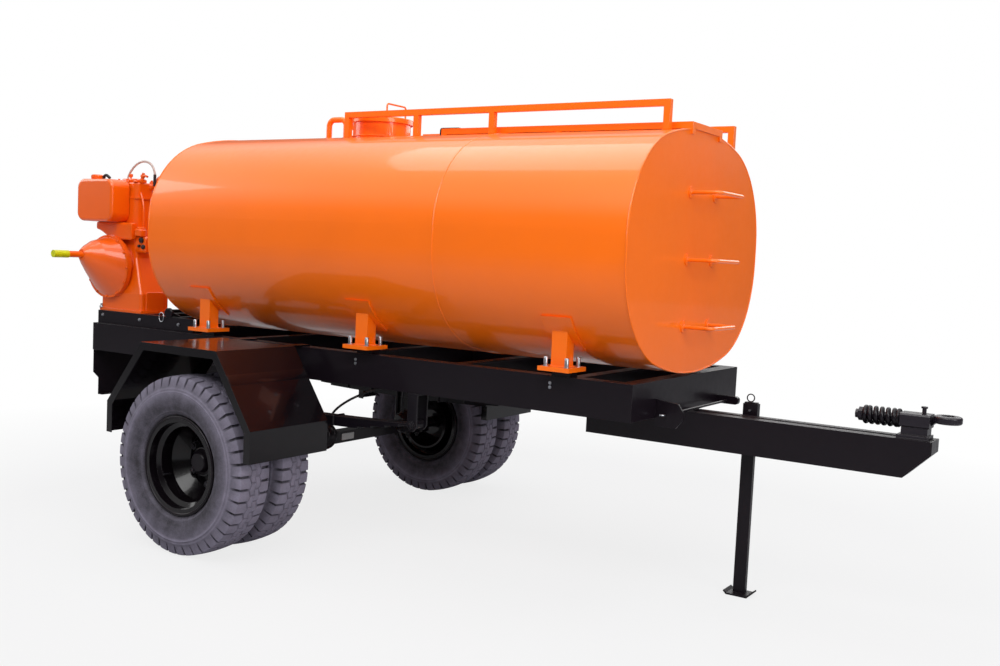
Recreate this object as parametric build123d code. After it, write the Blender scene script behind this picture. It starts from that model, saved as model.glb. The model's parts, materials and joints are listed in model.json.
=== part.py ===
from build123d import *
from math import cos, radians, sin, sqrt
import os

# Single-axle tank trailer with twin tyres and an engine on its rear deck.
# Millimetres. +X is forward, towards the tow eye, +Y is the left side, +Z is up.
# The sub-parts are built with X = 0 on the wheel axis, the floor at Z = 0 and the
# trailer level. The last step shifts them all in X, so that the origin lies on the
# floor under the middle of the whole trailer.

# Oval tank: three arcs of different radius to each quarter of its section
tank_length = 2705.0
tank_width = 1398.0
tank_height = 1030.0
tank_top_radius = 1400.0
tank_side_radius = 1200.0
tank_corner_radius = 440.0
tank_wall = 4.0
tank_end_wall = 5.0
tank_rear_x = -759.0
tank_over_frame = 13.0
seam_from_front = 905.0

# Manhole, breather pipe, rails and walkway on top of the tank
manhole_x = 173.0
manhole_outer_r = 147.0
manhole_wall = 6.0
manhole_rise = 85.0
manhole_drop = 20.0
lid_overhang = 12.0
lid_thickness = 14.0
lid_skirt = 13.0
lid_sheet = 4.0
lid_notch_share = 0.75
lid_gap = 0.5
lid_hinge_gap = 12.0
lid_hinge_r = 9.0
lid_handle_offset = 90.0
lid_handle_width = 150.0
lid_handle_height = 68.0
lid_handle_r = 4.5
rail_tube = 28.0
rail_y = 215.0
rail_rise = 96.0
rail_front_x = 1876.0
rail_post_pitch = 432.0
low_rail_y = 345.0
low_rail_rise = 79.0
low_rail_front_x = 1941.0
walkway_half_width = 164.0
walkway_rear_x = 672.0
walkway_rise = 21.0
walkway_overhang = 8.0
breather_x = -128.0
breather_leg_gap = 118.0
breather_rise = 106.0
breather_r = 15.0

# Steps on the tank's front end
step_count = 3
step_top_z = 1708.0
step_pitch = 281.5
step_width = 269.0
step_reach = 129.0
step_mid_y = 8.0
step_bar_r = 8.0
step_pad_r = 26.0
step_pad_t = 5.0

# Frame of channels, mitred at the four corners
frame_width = 1134.0
frame_top_z = 932.0
frame_front_x = 1940.0
frame_rear_x = -1366.0
rail_depth = 150.0
rail_flange = 65.0
rail_web = 6.0
rail_flange_t = 8.0
cross_member_xs = (-980.0, -360.0, 420.0, 1010.0, 1600.0)
cross_flange = 55.0

# Tank supports: saddle, column and base plate, three to a side
support_mid_x = 583.0
support_pitch = 1033.0
support_plate_x = 145.0
support_plate_y = 143.0
support_plate_t = 18.0
support_gap = 24.0
support_inset = 9.0
support_packer_x = 84.0
support_column_x = 70.0
support_column_y = 60.0
support_column_wall = 6.0
saddle_width = 140.0
saddle_t = 8.0
saddle_high_z = 1176.0
saddle_low_y = 488.0
stud_r = 7.0
stud_rise = 31.0
stud_inset = 24.0

# Drawbar: two channels, toe to toe, and its sprung tow eye
drawbar_rear_x = 1480.0
drawbar_front_x = 2953.0
drawbar_flange = 64.0
drawbar_toe_gap = 2.0
drawbar_chamfer = 100.0
drawbar_end_t = 6.0
drawbar_end_fit = 0.2
draw_axis_rise = 71.0
draw_housing_rear_x = 2824.0
draw_housing_length = 110.0
draw_housing_width = 90.0
draw_barrel_height = 53.0
draw_base_t = 14.0
draw_bore_r = 18.0
draw_shank_r = 17.8
spring_outer_r = 37.5
spring_wire_r = 7.0
spring_turns = 7
spring_length = 147.0
draw_nut_r = 27.0
draw_nut_t = 16.0
draw_tail = 12.0
eye_bore_r = 25.0
eye_outer_r = 52.0
eye_height = 30.0
eye_round = 9.0
eye_lip = 3.0
eye_reach = 57.0
eye_rise = 13.0
lock_pin_r = 8.0
lock_pin_rise = 28.0
front_lug_y = 335.0
front_lug_reach = 121.0
front_lug_t = 10.0
front_lug_top_z = 858.0
front_lug_bottom_z = 747.0
far_lug_reach = 106.0
far_lug_top_z = 820.0
far_lug_bottom_z = 784.0
front_rod_r = 6.0
front_rod_x = 45.0
front_rod_z = 797.0

# Prop stand on the left side of the drawbar
stand_x = 2192.0
stand_leg_x = 54.0
stand_leg_y = 24.0
stand_leg_wall = 3.0
stand_clearance = 0.4
sleeve_wall = 5.0
sleeve_rise = 48.0
sleeve_drop = 6.0
foot_x = 92.0
foot_y = 90.0
foot_t = 8.0
foot_lip = 14.0
stand_cap_t = 5.0
stand_ring_r = 16.0
stand_ring_bar_r = 2.5

# Twin wheels
tyre_radius = 405.0
tyre_half_width = 107.0
tread_half_width = 82.0
tread_drop = 5.0
twin_spacing = 247.0
outer_wheel_y = 1038.0
rim_flange_r = 226.0
rim_seat_r = 203.0
rim_well_r = 180.0
rim_half_width = 72.0
rim_sheet = 8.0
tyre_fit = 0.3
wheel_disc_t = 12.0
wheel_disc_face_r = 138.0
wheel_disc_start = 44.0
wheel_disc_edge = 14.0
wheel_stud_circle_r = 111.0
wheel_stud_count = 6
wheel_stud_r = 10.0
wheel_nut_r = 16.0
wheel_nut_t = 18.0
hub_flange_r = 129.0
hub_flange_t = 14.0
hub_nose_r = 72.0
hub_nose_length = 78.0
hub_cap_r = 48.0
hub_cap_length = 26.0
drum_r = 150.0
drum_inner_y = 705.0
spindle_r = 30.0
spindle_clearance = 0.05

# Axle and leaf springs
axle_rise = 10.0
axle_beam_x = 70.0
axle_beam_z = 60.0
knuckle_x = 86.0
knuckle_length = 60.0
leaf_count = 5
leaf_t = 9.0
leaf_width = 64.0
leaf_half_length = 880.0
leaf_step = 80.0
leaf_camber = 25.0
leaf_eye_r = 19.0
leaf_eye_bore_r = 10.0
spring_seat_z = 575.0
spring_seat_x = 112.0
u_bolt_r = 8.0
clamp_plate_t = 12.0
hanger_t = 8.0
hanger_width_x = 52.0

# Mudguards of folded sheet
guard_outer_y = 1140.0
guard_inner_y = 660.0
guard_sheet = 3.0
guard_lip = 36.0
guard_top_half_x = 244.0
guard_front_x = 464.0
guard_rear_x = -474.0
guard_front_knee_z = 620.0
guard_rear_knee_z = 648.0
guard_front_z = 480.0
guard_rear_z = 503.0
guard_bar_t = 7.0
guard_bar_width = 50.0
guard_bar_x = 175.0

# Rear panel and lamps
panel_drop = 254.0
panel_t = 4.0
panel_upper_half_y = 562.0
panel_lower_half_y = 528.0
panel_step_drop = 126.0
lamp_y = 420.0
lamp_width = 150.0
lamp_height = 76.0
lamp_depth = 42.0

# Engine on its base frame
base_height = 70.0
base_flange = 42.0
base_wall = 5.0
base_half_y = 540.0
base_front_x = -590.0
base_cross_xs = (-1335.0, -1085.0, -840.0)
crank_near_y = -520.0
crank_far_y = -330.0
crankcase_x0 = -1364.0
crankcase_x1 = -1028.0
crankcase_foot_z = 1105.0
crankcase_neck_z = 1300.0
crankcase_top_z = 1424.0
crankcase_wall = 30.0
cylinder_x0 = -1323.0
cylinder_x1 = -1127.0
cylinder_near_y = -484.0
cylinder_far_y = -350.0
cylinder_joint_z = 1628.0
cylinder_top_z = 1712.0
head_flange_t = 12.0
cowl_x = -1283.0
cowl_z = 1246.0
cowl_r = 172.0
cowl_depth = 150.0
cowl_rim = 26.0
cowl_sheet = 4.0
cowl_neck_r = 145.0
shaft_x = -1303.0
shaft_z = 1307.0
shaft_r = 17.0
shaft_tip_y = -866.0
shaft_sleeve_length = 88.0
shaft_sleeve_wall = 2.5
fuel_tank_x0 = -1484.0
fuel_tank_x1 = -1184.0
fuel_tank_z0 = 1491.0
fuel_tank_z1 = 1721.0
fuel_tank_near_y = -602.0
fuel_tank_far_y = -487.0
fuel_tank_round = 50.0
fuel_tank_wall = 3.0
fuel_outlet_r = 8.0
fuel_cap_x = -1384.0
fuel_cap_r = 30.0
fuel_cap_h = 24.0
hose_r = 7.0

# Worked out from the sizes above
tank_front_x = tank_rear_x + tank_length
tank_z = frame_top_z + tank_over_frame + tank_height / 2
tank_top_z = tank_z + tank_height / 2
seam_x = tank_front_x - seam_from_front
frame_bottom_z = frame_top_z - rail_depth
drawbar_top_z = frame_bottom_z
drawbar_bottom_z = drawbar_top_z - rail_depth
drawbar_half_y = drawbar_flange + drawbar_toe_gap / 2
draw_axis_z = drawbar_top_z + draw_axis_rise
draw_housing_front_x = draw_housing_rear_x + draw_housing_length
eye_x = draw_housing_front_x + eye_reach
eye_z = draw_axis_z + eye_rise
axle_beam_z0 = tyre_radius + axle_rise - axle_beam_z / 2
axle_beam_z1 = axle_beam_z0 + axle_beam_z
inner_wheel_y = outer_wheel_y - twin_spacing
disc_joint_y = (outer_wheel_y + inner_wheel_y) / 2
leaf_y = frame_width / 2 - rail_flange / 2
support_y = frame_width / 2 - support_inset
base_top_z = frame_top_z + base_height
plate_low_z = frame_top_z + support_gap
plate_top_z = plate_low_z + support_plate_t
stand_y = drawbar_half_y + sleeve_wall + stand_clearance + stand_leg_y / 2
sleeve_top_z = drawbar_top_z + sleeve_rise
lid_low_z = tank_top_z + manhole_rise
lid_hinge_x = manhole_x - manhole_outer_r - lid_overhang - lid_hinge_gap
lid_hinge_z = lid_low_z + lid_hinge_r
handrail_post_xs = [rail_front_x - rail_tube / 2 - n * rail_post_pitch for n in (4, 3, 2, 0)]
edge_rail_post_xs = [low_rail_front_x - rail_tube / 2 - 2 * n * rail_post_pitch for n in (2, 1, 0)]
origin_x = (eye_x + eye_outer_r + fuel_tank_x0) / 2


def box(x0, x1, y0, y1, z0, z1):
    """Box between two corners."""
    size = (abs(x1 - x0), abs(y1 - y0), abs(z1 - z0))
    centre = ((x0 + x1) / 2, (y0 + y1) / 2, (z0 + z1) / 2)
    return Pos(*centre) * Box(*size)


def side_plane(y):
    """Sketch plane facing the right side: its x is X and its y is Z."""
    return Plane(origin=(0, y, 0), x_dir=(1, 0, 0), z_dir=(0, -1, 0))


def cross_plane(x):
    """Sketch plane across the trailer: its x is Y and its y is Z."""
    return Plane(origin=(x, 0, 0), x_dir=(0, 1, 0), z_dir=(1, 0, 0))


def extrude_y(face, y0, y1):
    """A sketch of X and Z, made solid from y0 to y1."""
    return extrude(side_plane(y0) * face, amount=y1 - y0, dir=(0, 1, 0))


def extrude_x(face, x0, x1):
    """A sketch of Y and Z, made solid from x0 to x1."""
    return extrude(cross_plane(x0) * face, amount=x1 - x0, dir=(1, 0, 0))


def polygon(points):
    """Face inside a closed outline of straight lines."""
    return make_face(Polyline(*points, close=True))


def rod(start, end, r):
    """Round bar between two points."""
    axis = Vector(*end) - Vector(*start)
    return extrude(Plane(origin=start, z_dir=axis.normalized()) * Circle(r), amount=axis.length)


def bent_rod(points, r, bend):
    """Round bar along straight runs joined by tangent arcs."""
    path = FilletPolyline(*points, radius=bend)
    return sweep(Plane(origin=points[0], z_dir=path % 0) * Circle(r), path=path)


def mirror_y(shape):
    """The same piece on the other side."""
    return mirror(shape, about=Plane.XZ)


def oval_section(grow):
    """The tank's oval, grown outwards by a distance, as a face of Y and Z.

    A quarter is a top arc, a corner arc and a side arc, tangent to each other.
    """
    half_y = tank_width / 2
    half_z = tank_height / 2
    top_centre = Vector(0, half_z - tank_top_radius)
    side_centre = Vector(half_y - tank_side_radius, 0)
    to_top = tank_top_radius - tank_corner_radius
    to_side = tank_side_radius - tank_corner_radius
    between = side_centre - top_centre
    along = (to_top ** 2 - to_side ** 2 + between.length ** 2) / (2 * between.length)
    aside = sqrt(to_top ** 2 - along ** 2)
    unit = between.normalized()
    corner = top_centre + unit * along + Vector(unit.Y, -unit.X) * aside
    top_join = top_centre + (corner - top_centre).normalized() * (tank_top_radius + grow)
    side_join = side_centre + (corner - side_centre).normalized() * (tank_side_radius + grow)
    middle = (top_join - corner).normalized() + (side_join - corner).normalized()
    knee = corner + middle.normalized() * (tank_corner_radius + grow)
    top = Vector(0, half_z + grow)
    side = Vector(half_y + grow, 0)
    quarter = [top_join, knee, side_join]
    right = [Vector(p.X, p.Y) for p in quarter]
    low = [Vector(p.X, -p.Y) for p in reversed(quarter)]
    edges = [
        ThreePointArc(Vector(-top_join.X, top_join.Y), top, top_join),
        ThreePointArc(*right),
        ThreePointArc(side_join, side, Vector(side_join.X, -side_join.Y)),
        ThreePointArc(*low),
        ThreePointArc(low[2], Vector(0, -top.Y), Vector(-low[2].X, low[2].Y)),
        ThreePointArc(*[Vector(-p.X, p.Y) for p in reversed(low)]),
        ThreePointArc(Vector(-side_join.X, -side_join.Y), Vector(-side.X, 0), Vector(-side_join.X, side_join.Y)),
        ThreePointArc(*[Vector(-p.X, p.Y) for p in reversed(right)]),
    ]
    return Pos(0, tank_z) * make_face(edges)


def oval_solid(x0, x1, grow=0.0):
    """Solid of the tank's oval, between two planes across the trailer."""
    return extrude_x(oval_section(grow), x0, x1)


def tank_surface_z(y):
    """Height of the tank's upper surface at a distance from its centre plane."""
    centre_z = tank_top_z - tank_top_radius
    return centre_z + sqrt(tank_top_radius ** 2 - y ** 2)


def channel(depth, flange, web, flange_t):
    """Channel section: its web's outer face on x = 0, its flanges towards +x."""
    return polygon([
        (0, -depth / 2), (flange, -depth / 2), (flange, -depth / 2 + flange_t),
        (web, -depth / 2 + flange_t), (web, depth / 2 - flange_t),
        (flange, depth / 2 - flange_t), (flange, depth / 2), (0, depth / 2),
    ])


# Tank

def tank_shell(x0, x1):
    """Length of the oval barrel, open at both ends."""
    return oval_solid(x0, x1) - oval_solid(x0 - 1, x1 + 1, -tank_wall)


def tank_barrel_rear():
    """Rear length of the barrel, with the manhole's hole in its top."""
    barrel = tank_shell(tank_rear_x + tank_end_wall, seam_x)
    hole = Pos(manhole_x, 0, tank_top_z) * Cylinder(manhole_outer_r + 0.3, tank_height / 2)
    return barrel - hole


def tank_barrel_front():
    """Front length of the barrel."""
    return tank_shell(seam_x, tank_front_x - tank_end_wall)


def tank_rear_end():
    """Flat rear end of the tank."""
    return oval_solid(tank_rear_x, tank_rear_x + tank_end_wall)


def tank_front_end():
    """Flat front end of the tank."""
    return oval_solid(tank_front_x - tank_end_wall, tank_front_x)


def manhole_neck():
    """Round neck through the tank's top, with its fixed hinge ears."""
    low_z = tank_surface_z(manhole_outer_r) - manhole_drop
    height = lid_low_z - low_z
    ring = Cylinder(manhole_outer_r, height) - Cylinder(manhole_outer_r - manhole_wall, height + 2)
    neck = Pos(manhole_x, 0, low_z + height / 2) * ring
    back_x = manhole_x - manhole_outer_r
    shelf_z = lid_low_z - lid_skirt - 4
    ear_profile = polygon([
        (back_x + manhole_wall / 2 + 8, shelf_z - 40), (lid_hinge_x - lid_hinge_r, shelf_z - 8),
        (lid_hinge_x - lid_hinge_r, lid_hinge_z + lid_hinge_r),
        (lid_hinge_x + lid_hinge_r - 1, lid_hinge_z + lid_hinge_r),
        (lid_hinge_x + lid_hinge_r - 1, shelf_z), (back_x + manhole_wall / 2 + 8, shelf_z),
    ])
    pin = rod((lid_hinge_x, -46, lid_hinge_z), (lid_hinge_x, 46, lid_hinge_z), 5)
    for y in (-46, 38):
        neck += extrude_y(ear_profile, y, y + 8)
    return neck + pin


def manhole_lid():
    """Round lid with a hinge knuckle, and a skirt that stops short of the hinge."""
    low_z = lid_low_z + lid_gap
    r = manhole_outer_r + lid_overhang
    plate = Pos(manhole_x, 0, low_z + lid_thickness / 2) * Cylinder(r, lid_thickness)
    plate = fillet(plate.edges().filter_by(GeomType.CIRCLE).group_by(Axis.Z)[-1], 6)
    skirt_ring = Cylinder(r, lid_skirt) - Cylinder(r - lid_sheet, lid_skirt + 2)
    skirt = Pos(manhole_x, 0, low_z - lid_skirt / 2) * skirt_ring
    notch_x = manhole_x - lid_notch_share * manhole_outer_r
    skirt -= box(manhole_x - 2 * r, notch_x, -r, r, low_z - 2 * lid_skirt, low_z)
    knuckle_bore = rod((lid_hinge_x, -40, lid_hinge_z), (lid_hinge_x, 40, lid_hinge_z), 5.05)
    knuckle = rod((lid_hinge_x, -37.5, lid_hinge_z), (lid_hinge_x, 37.5, lid_hinge_z), lid_hinge_r)
    tongue = box(lid_hinge_x, manhole_x - r + 12, -37.5, 37.5, low_z + 2, low_z + 12)
    lid = plate + skirt + tongue + knuckle
    clear = rod((lid_hinge_x, -60, lid_hinge_z), (lid_hinge_x, -37.5, lid_hinge_z), lid_hinge_r + 1)
    return lid - knuckle_bore - clear - mirror_y(clear)


def lid_handle():
    """Bent wire handle across the lid, its feet bent out a little."""
    x = manhole_x + lid_handle_offset
    half = lid_handle_width / 2
    foot_z = lid_low_z + lid_gap + lid_thickness
    top_z = foot_z + lid_handle_height
    return bent_rod([(x, -half, foot_z), (x, -half, top_z), (x, half, top_z), (x, half, foot_z)],
                    lid_handle_r, 12)


def breather_pipe():
    """Inverted U of pipe, both legs standing on the tank."""
    x0 = breather_x - breather_leg_gap / 2
    x1 = breather_x + breather_leg_gap / 2
    pipe = bent_rod([
        (x0, 0, tank_top_z - 20), (x0, 0, tank_top_z + breather_rise),
        (x1, 0, tank_top_z + breather_rise), (x1, 0, tank_top_z - 20),
    ], breather_r, 34)
    return pipe - oval_solid(x0 - 100, x1 + 100, 0.2)


def rail_posts(xs, y, top_z):
    """Square posts from the tank's curved top up to a rail."""
    posts = [box(x - rail_tube / 2, x + rail_tube / 2, y - rail_tube / 2, y + rail_tube / 2,
                 tank_surface_z(y) - 40, top_z) for x in xs]
    return posts


def top_rail(xs, y, rise):
    """Rail of square tube above the tank, standing on square posts."""
    half = rail_tube / 2
    z = tank_surface_z(y) + rise
    rail = box(xs[0] - half, xs[-1] + half, y - half, y + half, z, z + rail_tube)
    for post in rail_posts(xs, y, z + half):
        rail += post
    return rail - oval_solid(tank_rear_x, tank_front_x, 0.2)


def handrail():
    """Tall rail on the right of the walkway."""
    return top_rail(handrail_post_xs, -rail_y, rail_rise)


def edge_rail():
    """Low rail along the tank's left shoulder."""
    return top_rail(edge_rail_post_xs, low_rail_y, low_rail_rise)


def walkway_frame():
    """Low frame of square tube round the walkway, on short feet."""
    half = rail_tube / 2
    z = tank_top_z + walkway_rise - half
    y = walkway_half_width - half
    x0 = walkway_rear_x + half
    x1 = tank_front_x + walkway_overhang - half
    frame = box(x0 - half, x1 + half, -y - half, -y + half, z - half, z + half)
    frame += box(x0 - half, x1 + half, y - half, y + half, z - half, z + half)
    for x in (x0, x1):
        frame += box(x - half, x + half, -y, y, z - half, z + half)
    for x in (x0, (x0 + x1) / 2, x1):
        for side in (-1, 1):
            foot = box(x - half, x + half, side * y - half, side * y + half,
                       tank_surface_z(walkway_half_width) - 20, z)
            frame += foot
    return frame - oval_solid(tank_rear_x, tank_front_x, 0.2)


def front_steps():
    """Bent-bar steps with a round pad under each end."""
    steps = []
    half = step_width / 2
    bar_x = tank_front_x + step_reach
    for n in range(step_count):
        z = step_top_z - n * step_pitch
        y0 = step_mid_y - half
        y1 = step_mid_y + half
        step = bent_rod([(tank_front_x + 1, y0, z), (bar_x, y0, z), (bar_x, y1, z), (tank_front_x + 1, y1, z)],
                        step_bar_r, 22)
        for y in (y0, y1):
            step += rod((tank_front_x, y, z), (tank_front_x + step_pad_t, y, z), step_pad_r)
        steps.append(step)
    return Compound(children=steps)


def tank_support(x, side):
    """Saddle, column and studded base plate between the tank and a side rail."""
    half = saddle_width / 2
    shell = oval_solid(x - half, x + half, saddle_t) - oval_solid(x - half - 1, x + half + 1, 0.2)
    keep = box(x - half, x + half, side * saddle_low_y, side * tank_width, tank_z - tank_height,
               saddle_high_z)
    saddle = shell & keep
    near_y = side * (support_y + support_column_y / 2)
    far_y = side * (support_y - support_column_y / 2)
    column = box(x - support_column_x / 2, x + support_column_x / 2, far_y, near_y, plate_top_z - 1, tank_z)
    wall = support_column_wall
    bore = box(x - support_column_x / 2 + wall, x + support_column_x / 2 - wall,
               far_y + side * wall, near_y - side * wall, plate_top_z, tank_z + 1)
    column = column - bore - oval_solid(x - half, x + half, saddle_t / 2)
    plate = box(x - support_plate_x / 2, x + support_plate_x / 2, side * (support_y - support_plate_y / 2),
                side * (support_y + support_plate_y / 2), plate_low_z, plate_top_z)
    support = saddle + column + plate
    for dx in (-1, 1):
        for dy in (-1, 1):
            stud_x = x + dx * (support_plate_x / 2 - stud_inset)
            stud_y = side * support_y + dy * (support_plate_y / 2 - stud_inset)
            support += rod((stud_x, stud_y, plate_low_z), (stud_x, stud_y, plate_top_z + stud_rise), stud_r)
    return support


def tank_supports():
    """Three supports on each side rail."""
    xs = [support_mid_x + n * support_pitch for n in (-1, 0, 1)]
    return Compound(children=[tank_support(x, side) for side in (-1, 1) for x in xs])


def support_packers():
    """Block between each support's base plate and the side rail's flange."""
    packers = []
    for n in (-1, 0, 1):
        x = support_mid_x + n * support_pitch
        for side in (-1, 1):
            packers.append(box(x - support_packer_x / 2, x + support_packer_x / 2, side * (frame_width / 2 - 4),
                               side * (frame_width / 2 - rail_flange), frame_top_z, plate_low_z))
    return Compound(children=packers)


# Frame

def frame_member(side):
    """Side rail of channel, its web outside, mitred at both ends."""
    section = channel(rail_depth, rail_flange, rail_web, rail_flange_t)
    web_y = side * frame_width / 2
    outline = Pos(web_y, frame_top_z - rail_depth / 2) * (mirror(section, about=Plane.YZ) if side > 0 else section)
    rail = extrude_x(outline, frame_rear_x, frame_front_x)
    return rail & mitre_keep(side)


def mitre_keep(side):
    """Prism that holds one side rail as far as its mitres."""
    edge = side * frame_width / 2
    inner = side * (frame_width / 2 - rail_flange)
    face = polygon([(frame_rear_x, edge), (frame_front_x, edge),
                    (frame_front_x - rail_flange, inner), (frame_rear_x + rail_flange, inner)])
    return extrude(Pos(0, 0, frame_bottom_z) * face, amount=rail_depth, dir=(0, 0, 1))


def end_beam(x, forward):
    """Channel across one end of the frame, its web outside, between the mitres."""
    section = channel(rail_depth, rail_flange, rail_web, rail_flange_t)
    if forward > 0:
        section = mirror(section, about=Plane.YZ)
    beam = extrude_y(Pos(x, frame_top_z - rail_depth / 2) * section, -frame_width / 2, frame_width / 2)
    return beam - mitre_keep(-1) - mitre_keep(1)


def side_rails():
    """Both side rails."""
    return Compound(children=[frame_member(side) for side in (-1, 1)])


def end_beams():
    """Front and rear beams of the frame."""
    return Compound(children=[end_beam(frame_front_x, 1), end_beam(frame_rear_x, -1)])


def cross_members():
    """Channels between the side rails, fitted inside their flanges."""
    depth = rail_depth - 2 * rail_flange_t
    half = frame_width / 2 - rail_web
    section = channel(depth, cross_flange, rail_web, rail_flange_t)
    members = []
    for x in cross_member_xs:
        member = extrude_y(Pos(x, frame_top_z - rail_depth / 2) * section, -half, half)
        if x > drawbar_rear_x:
            member += box(x, x + cross_flange, -drawbar_half_y, drawbar_half_y,
                          frame_bottom_z, frame_bottom_z + rail_flange_t)
        members.append(member)
    return Compound(children=members)


def rear_panel():
    """Sheet panel that hangs under the rear beam, stepped in at its lower part."""
    z1 = frame_bottom_z
    z_step = z1 - panel_step_drop
    z0 = z1 - panel_drop
    step = panel_upper_half_y - panel_lower_half_y
    outline = [(-panel_upper_half_y, z1), (-panel_upper_half_y, z_step),
               (-panel_lower_half_y, z_step - step), (-panel_lower_half_y, z0),
               (panel_lower_half_y, z0), (panel_lower_half_y, z_step - step),
               (panel_upper_half_y, z_step), (panel_upper_half_y, z1)]
    panel = extrude_x(polygon(outline), frame_rear_x, frame_rear_x + panel_t)
    fold = box(frame_rear_x, frame_rear_x + guard_lip, -panel_upper_half_y, panel_upper_half_y,
               z1 - panel_t, z1)
    low_fold = box(frame_rear_x, frame_rear_x + guard_lip, -panel_lower_half_y, panel_lower_half_y,
                   z0, z0 + panel_t)
    return panel + fold + low_fold


def tail_lamps():
    """A rounded lamp on each side of the rear panel."""
    z = frame_bottom_z - panel_drop / 2
    lamps = []
    for side in (-1, 1):
        face = Pos(side * lamp_y, z) * RectangleRounded(lamp_width, lamp_height, 14)
        lamp = extrude_x(face, frame_rear_x - lamp_depth, frame_rear_x)
        lamps.append(fillet(lamp.faces().sort_by(Axis.X)[0].edges(), 8))
    return Compound(children=lamps)


# Drawbar

def drawbar():
    """Two channels toe to toe, their front ends cut at an angle below."""
    beams = []
    cut_x = drawbar_front_x - drawbar_chamfer - (drawbar_end_t + drawbar_end_fit) * sqrt(2)
    reach = 2 * drawbar_chamfer
    cut = extrude_y(polygon([
        (cut_x - 1, drawbar_bottom_z - 1), (cut_x + reach, drawbar_bottom_z - 1),
        (cut_x + reach, drawbar_bottom_z + reach),
    ]), -drawbar_half_y - 1, drawbar_half_y + 1)
    for side in (-1, 1):
        section = channel(rail_depth, drawbar_flange, rail_web, rail_flange_t)
        if side > 0:
            section = mirror(section, about=Plane.YZ)
        outline = Pos(side * drawbar_half_y, drawbar_top_z - rail_depth / 2) * section
        front_x = drawbar_front_x - drawbar_end_t - drawbar_end_fit
        beams.append(extrude_x(outline, drawbar_rear_x, front_x) - cut)
    return Compound(children=beams)


def drawbar_end():
    """Folded plate that closes the front end of the drawbar."""
    x = drawbar_front_x
    t = drawbar_end_t
    low = drawbar_bottom_z
    run = drawbar_chamfer
    knee = low + run
    outline = [(x, drawbar_top_z), (x, knee), (x - run, low), (x - run - t * sqrt(2), low),
               (x - t, knee + t * (sqrt(2) - 1)), (x - t, drawbar_top_z)]
    return extrude_y(polygon(outline), -drawbar_half_y, drawbar_half_y)


def draw_housing():
    """Seat plate, pedestal and bored barrel that guide the tow eye's shank."""
    x0 = draw_housing_rear_x
    x1 = draw_housing_front_x
    half = draw_housing_width / 2
    low = drawbar_top_z
    barrel_low = draw_axis_z - draw_barrel_height / 2
    base = box(x0 - 8, x1, -half - 6, half + 6, low, low + draw_base_t)
    pedestal = box(x0 + 6, x1 - 6, -half + 8, half - 8, low + draw_base_t, barrel_low + 1)
    barrel = box(x0, x1, -half, half, barrel_low, draw_axis_z + draw_barrel_height / 2)
    barrel = fillet(barrel.edges().filter_by(Axis.X), 10)
    bore = rod((x0 - 20, 0, draw_axis_z), (x1 + 1, 0, draw_axis_z), draw_bore_r)
    return base + pedestal + barrel - bore


def draw_spring():
    """Coil spring behind the housing, its turns drawn as rings on a thin sleeve."""
    x1 = draw_housing_rear_x
    x0 = x1 - spring_length
    pitch = spring_length / spring_turns
    mid_r = spring_outer_r - spring_wire_r
    inner = draw_shank_r + 0.3
    spring = rod((x0, 0, draw_axis_z), (x1, 0, draw_axis_z), mid_r)
    for n in range(spring_turns):
        x = x0 + (n + 0.5) * pitch
        ring = Rot(0, 90, 0) * Torus(mid_r, spring_wire_r)
        spring += Pos(x, 0, draw_axis_z) * ring
    return spring - rod((x0 - 1, 0, draw_axis_z), (x1 + 1, 0, draw_axis_z), inner)


def tow_eye():
    """Ring with an upright bore, a neck, a shank through the housing and its nut."""
    ring = Cylinder(eye_outer_r, eye_height)
    ring = fillet(ring.edges().filter_by(GeomType.CIRCLE), eye_round)
    bore = Cylinder(eye_bore_r, eye_height + 2)
    neck_start = Plane(origin=(draw_housing_front_x + 0.5, 0, draw_axis_z), z_dir=(1, 0, 0)) * Circle(draw_shank_r)
    neck_end_x = eye_x - eye_bore_r - 8
    neck_end = Plane(origin=(neck_end_x, 0, eye_z), x_dir=(0, 1, 0), z_dir=(1, 0, 0)) * RectangleRounded(
        1.4 * eye_outer_r, eye_height - 4, 10)
    neck = loft([neck_start, neck_end])
    tail_x = draw_housing_rear_x - spring_length
    shank = rod((tail_x - draw_nut_t - draw_tail, 0, draw_axis_z),
                (draw_housing_front_x + 1, 0, draw_axis_z), draw_shank_r)
    nut = extrude(Plane(origin=(tail_x - draw_nut_t - 0.3, 0, draw_axis_z), z_dir=(1, 0, 0))
                  * RegularPolygon(draw_nut_r, 6), amount=draw_nut_t)
    eye = Pos(eye_x, 0, eye_z) * ring + neck
    return eye - Pos(eye_x, 0, eye_z) * bore + shank + nut


def lock_pin():
    """Short locking pin on top of the draw housing."""
    x = draw_housing_front_x - 30
    low = draw_axis_z + draw_barrel_height / 2
    pin = rod((x, 0, low), (x, 0, low + lock_pin_rise), lock_pin_r)
    return pin + rod((x, 0, low + lock_pin_rise - 7), (x, 0, low + lock_pin_rise), lock_pin_r + 4)


def near_lug():
    """Plate lug with a rounded nose, on the right of the front beam."""
    x0 = frame_front_x
    x1 = x0 + front_lug_reach
    z0 = front_lug_bottom_z
    z1 = front_lug_top_z
    outline = polygon([(x0, z0), (x1 - 30, z0), (x1, z0 + 40), (x1, z1 - 44), (x1 - 24, z1 - 12), (x0, z1)])
    lug = extrude_y(outline, -front_lug_y - front_lug_t / 2, -front_lug_y + front_lug_t / 2)
    return fillet(lug.edges().filter_by(Axis.Y).group_by(Axis.X)[-1], 30)


def far_lug():
    """Low lug with a rounded nose, on the left of the front beam."""
    x0 = frame_front_x
    x1 = x0 + far_lug_reach
    lug = box(x0, x1, front_lug_y - 2 * front_lug_t, front_lug_y + front_lug_t / 2, far_lug_bottom_z, far_lug_top_z)
    return fillet(lug.edges().filter_by(Axis.Y).group_by(Axis.X)[-1], 15)


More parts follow.
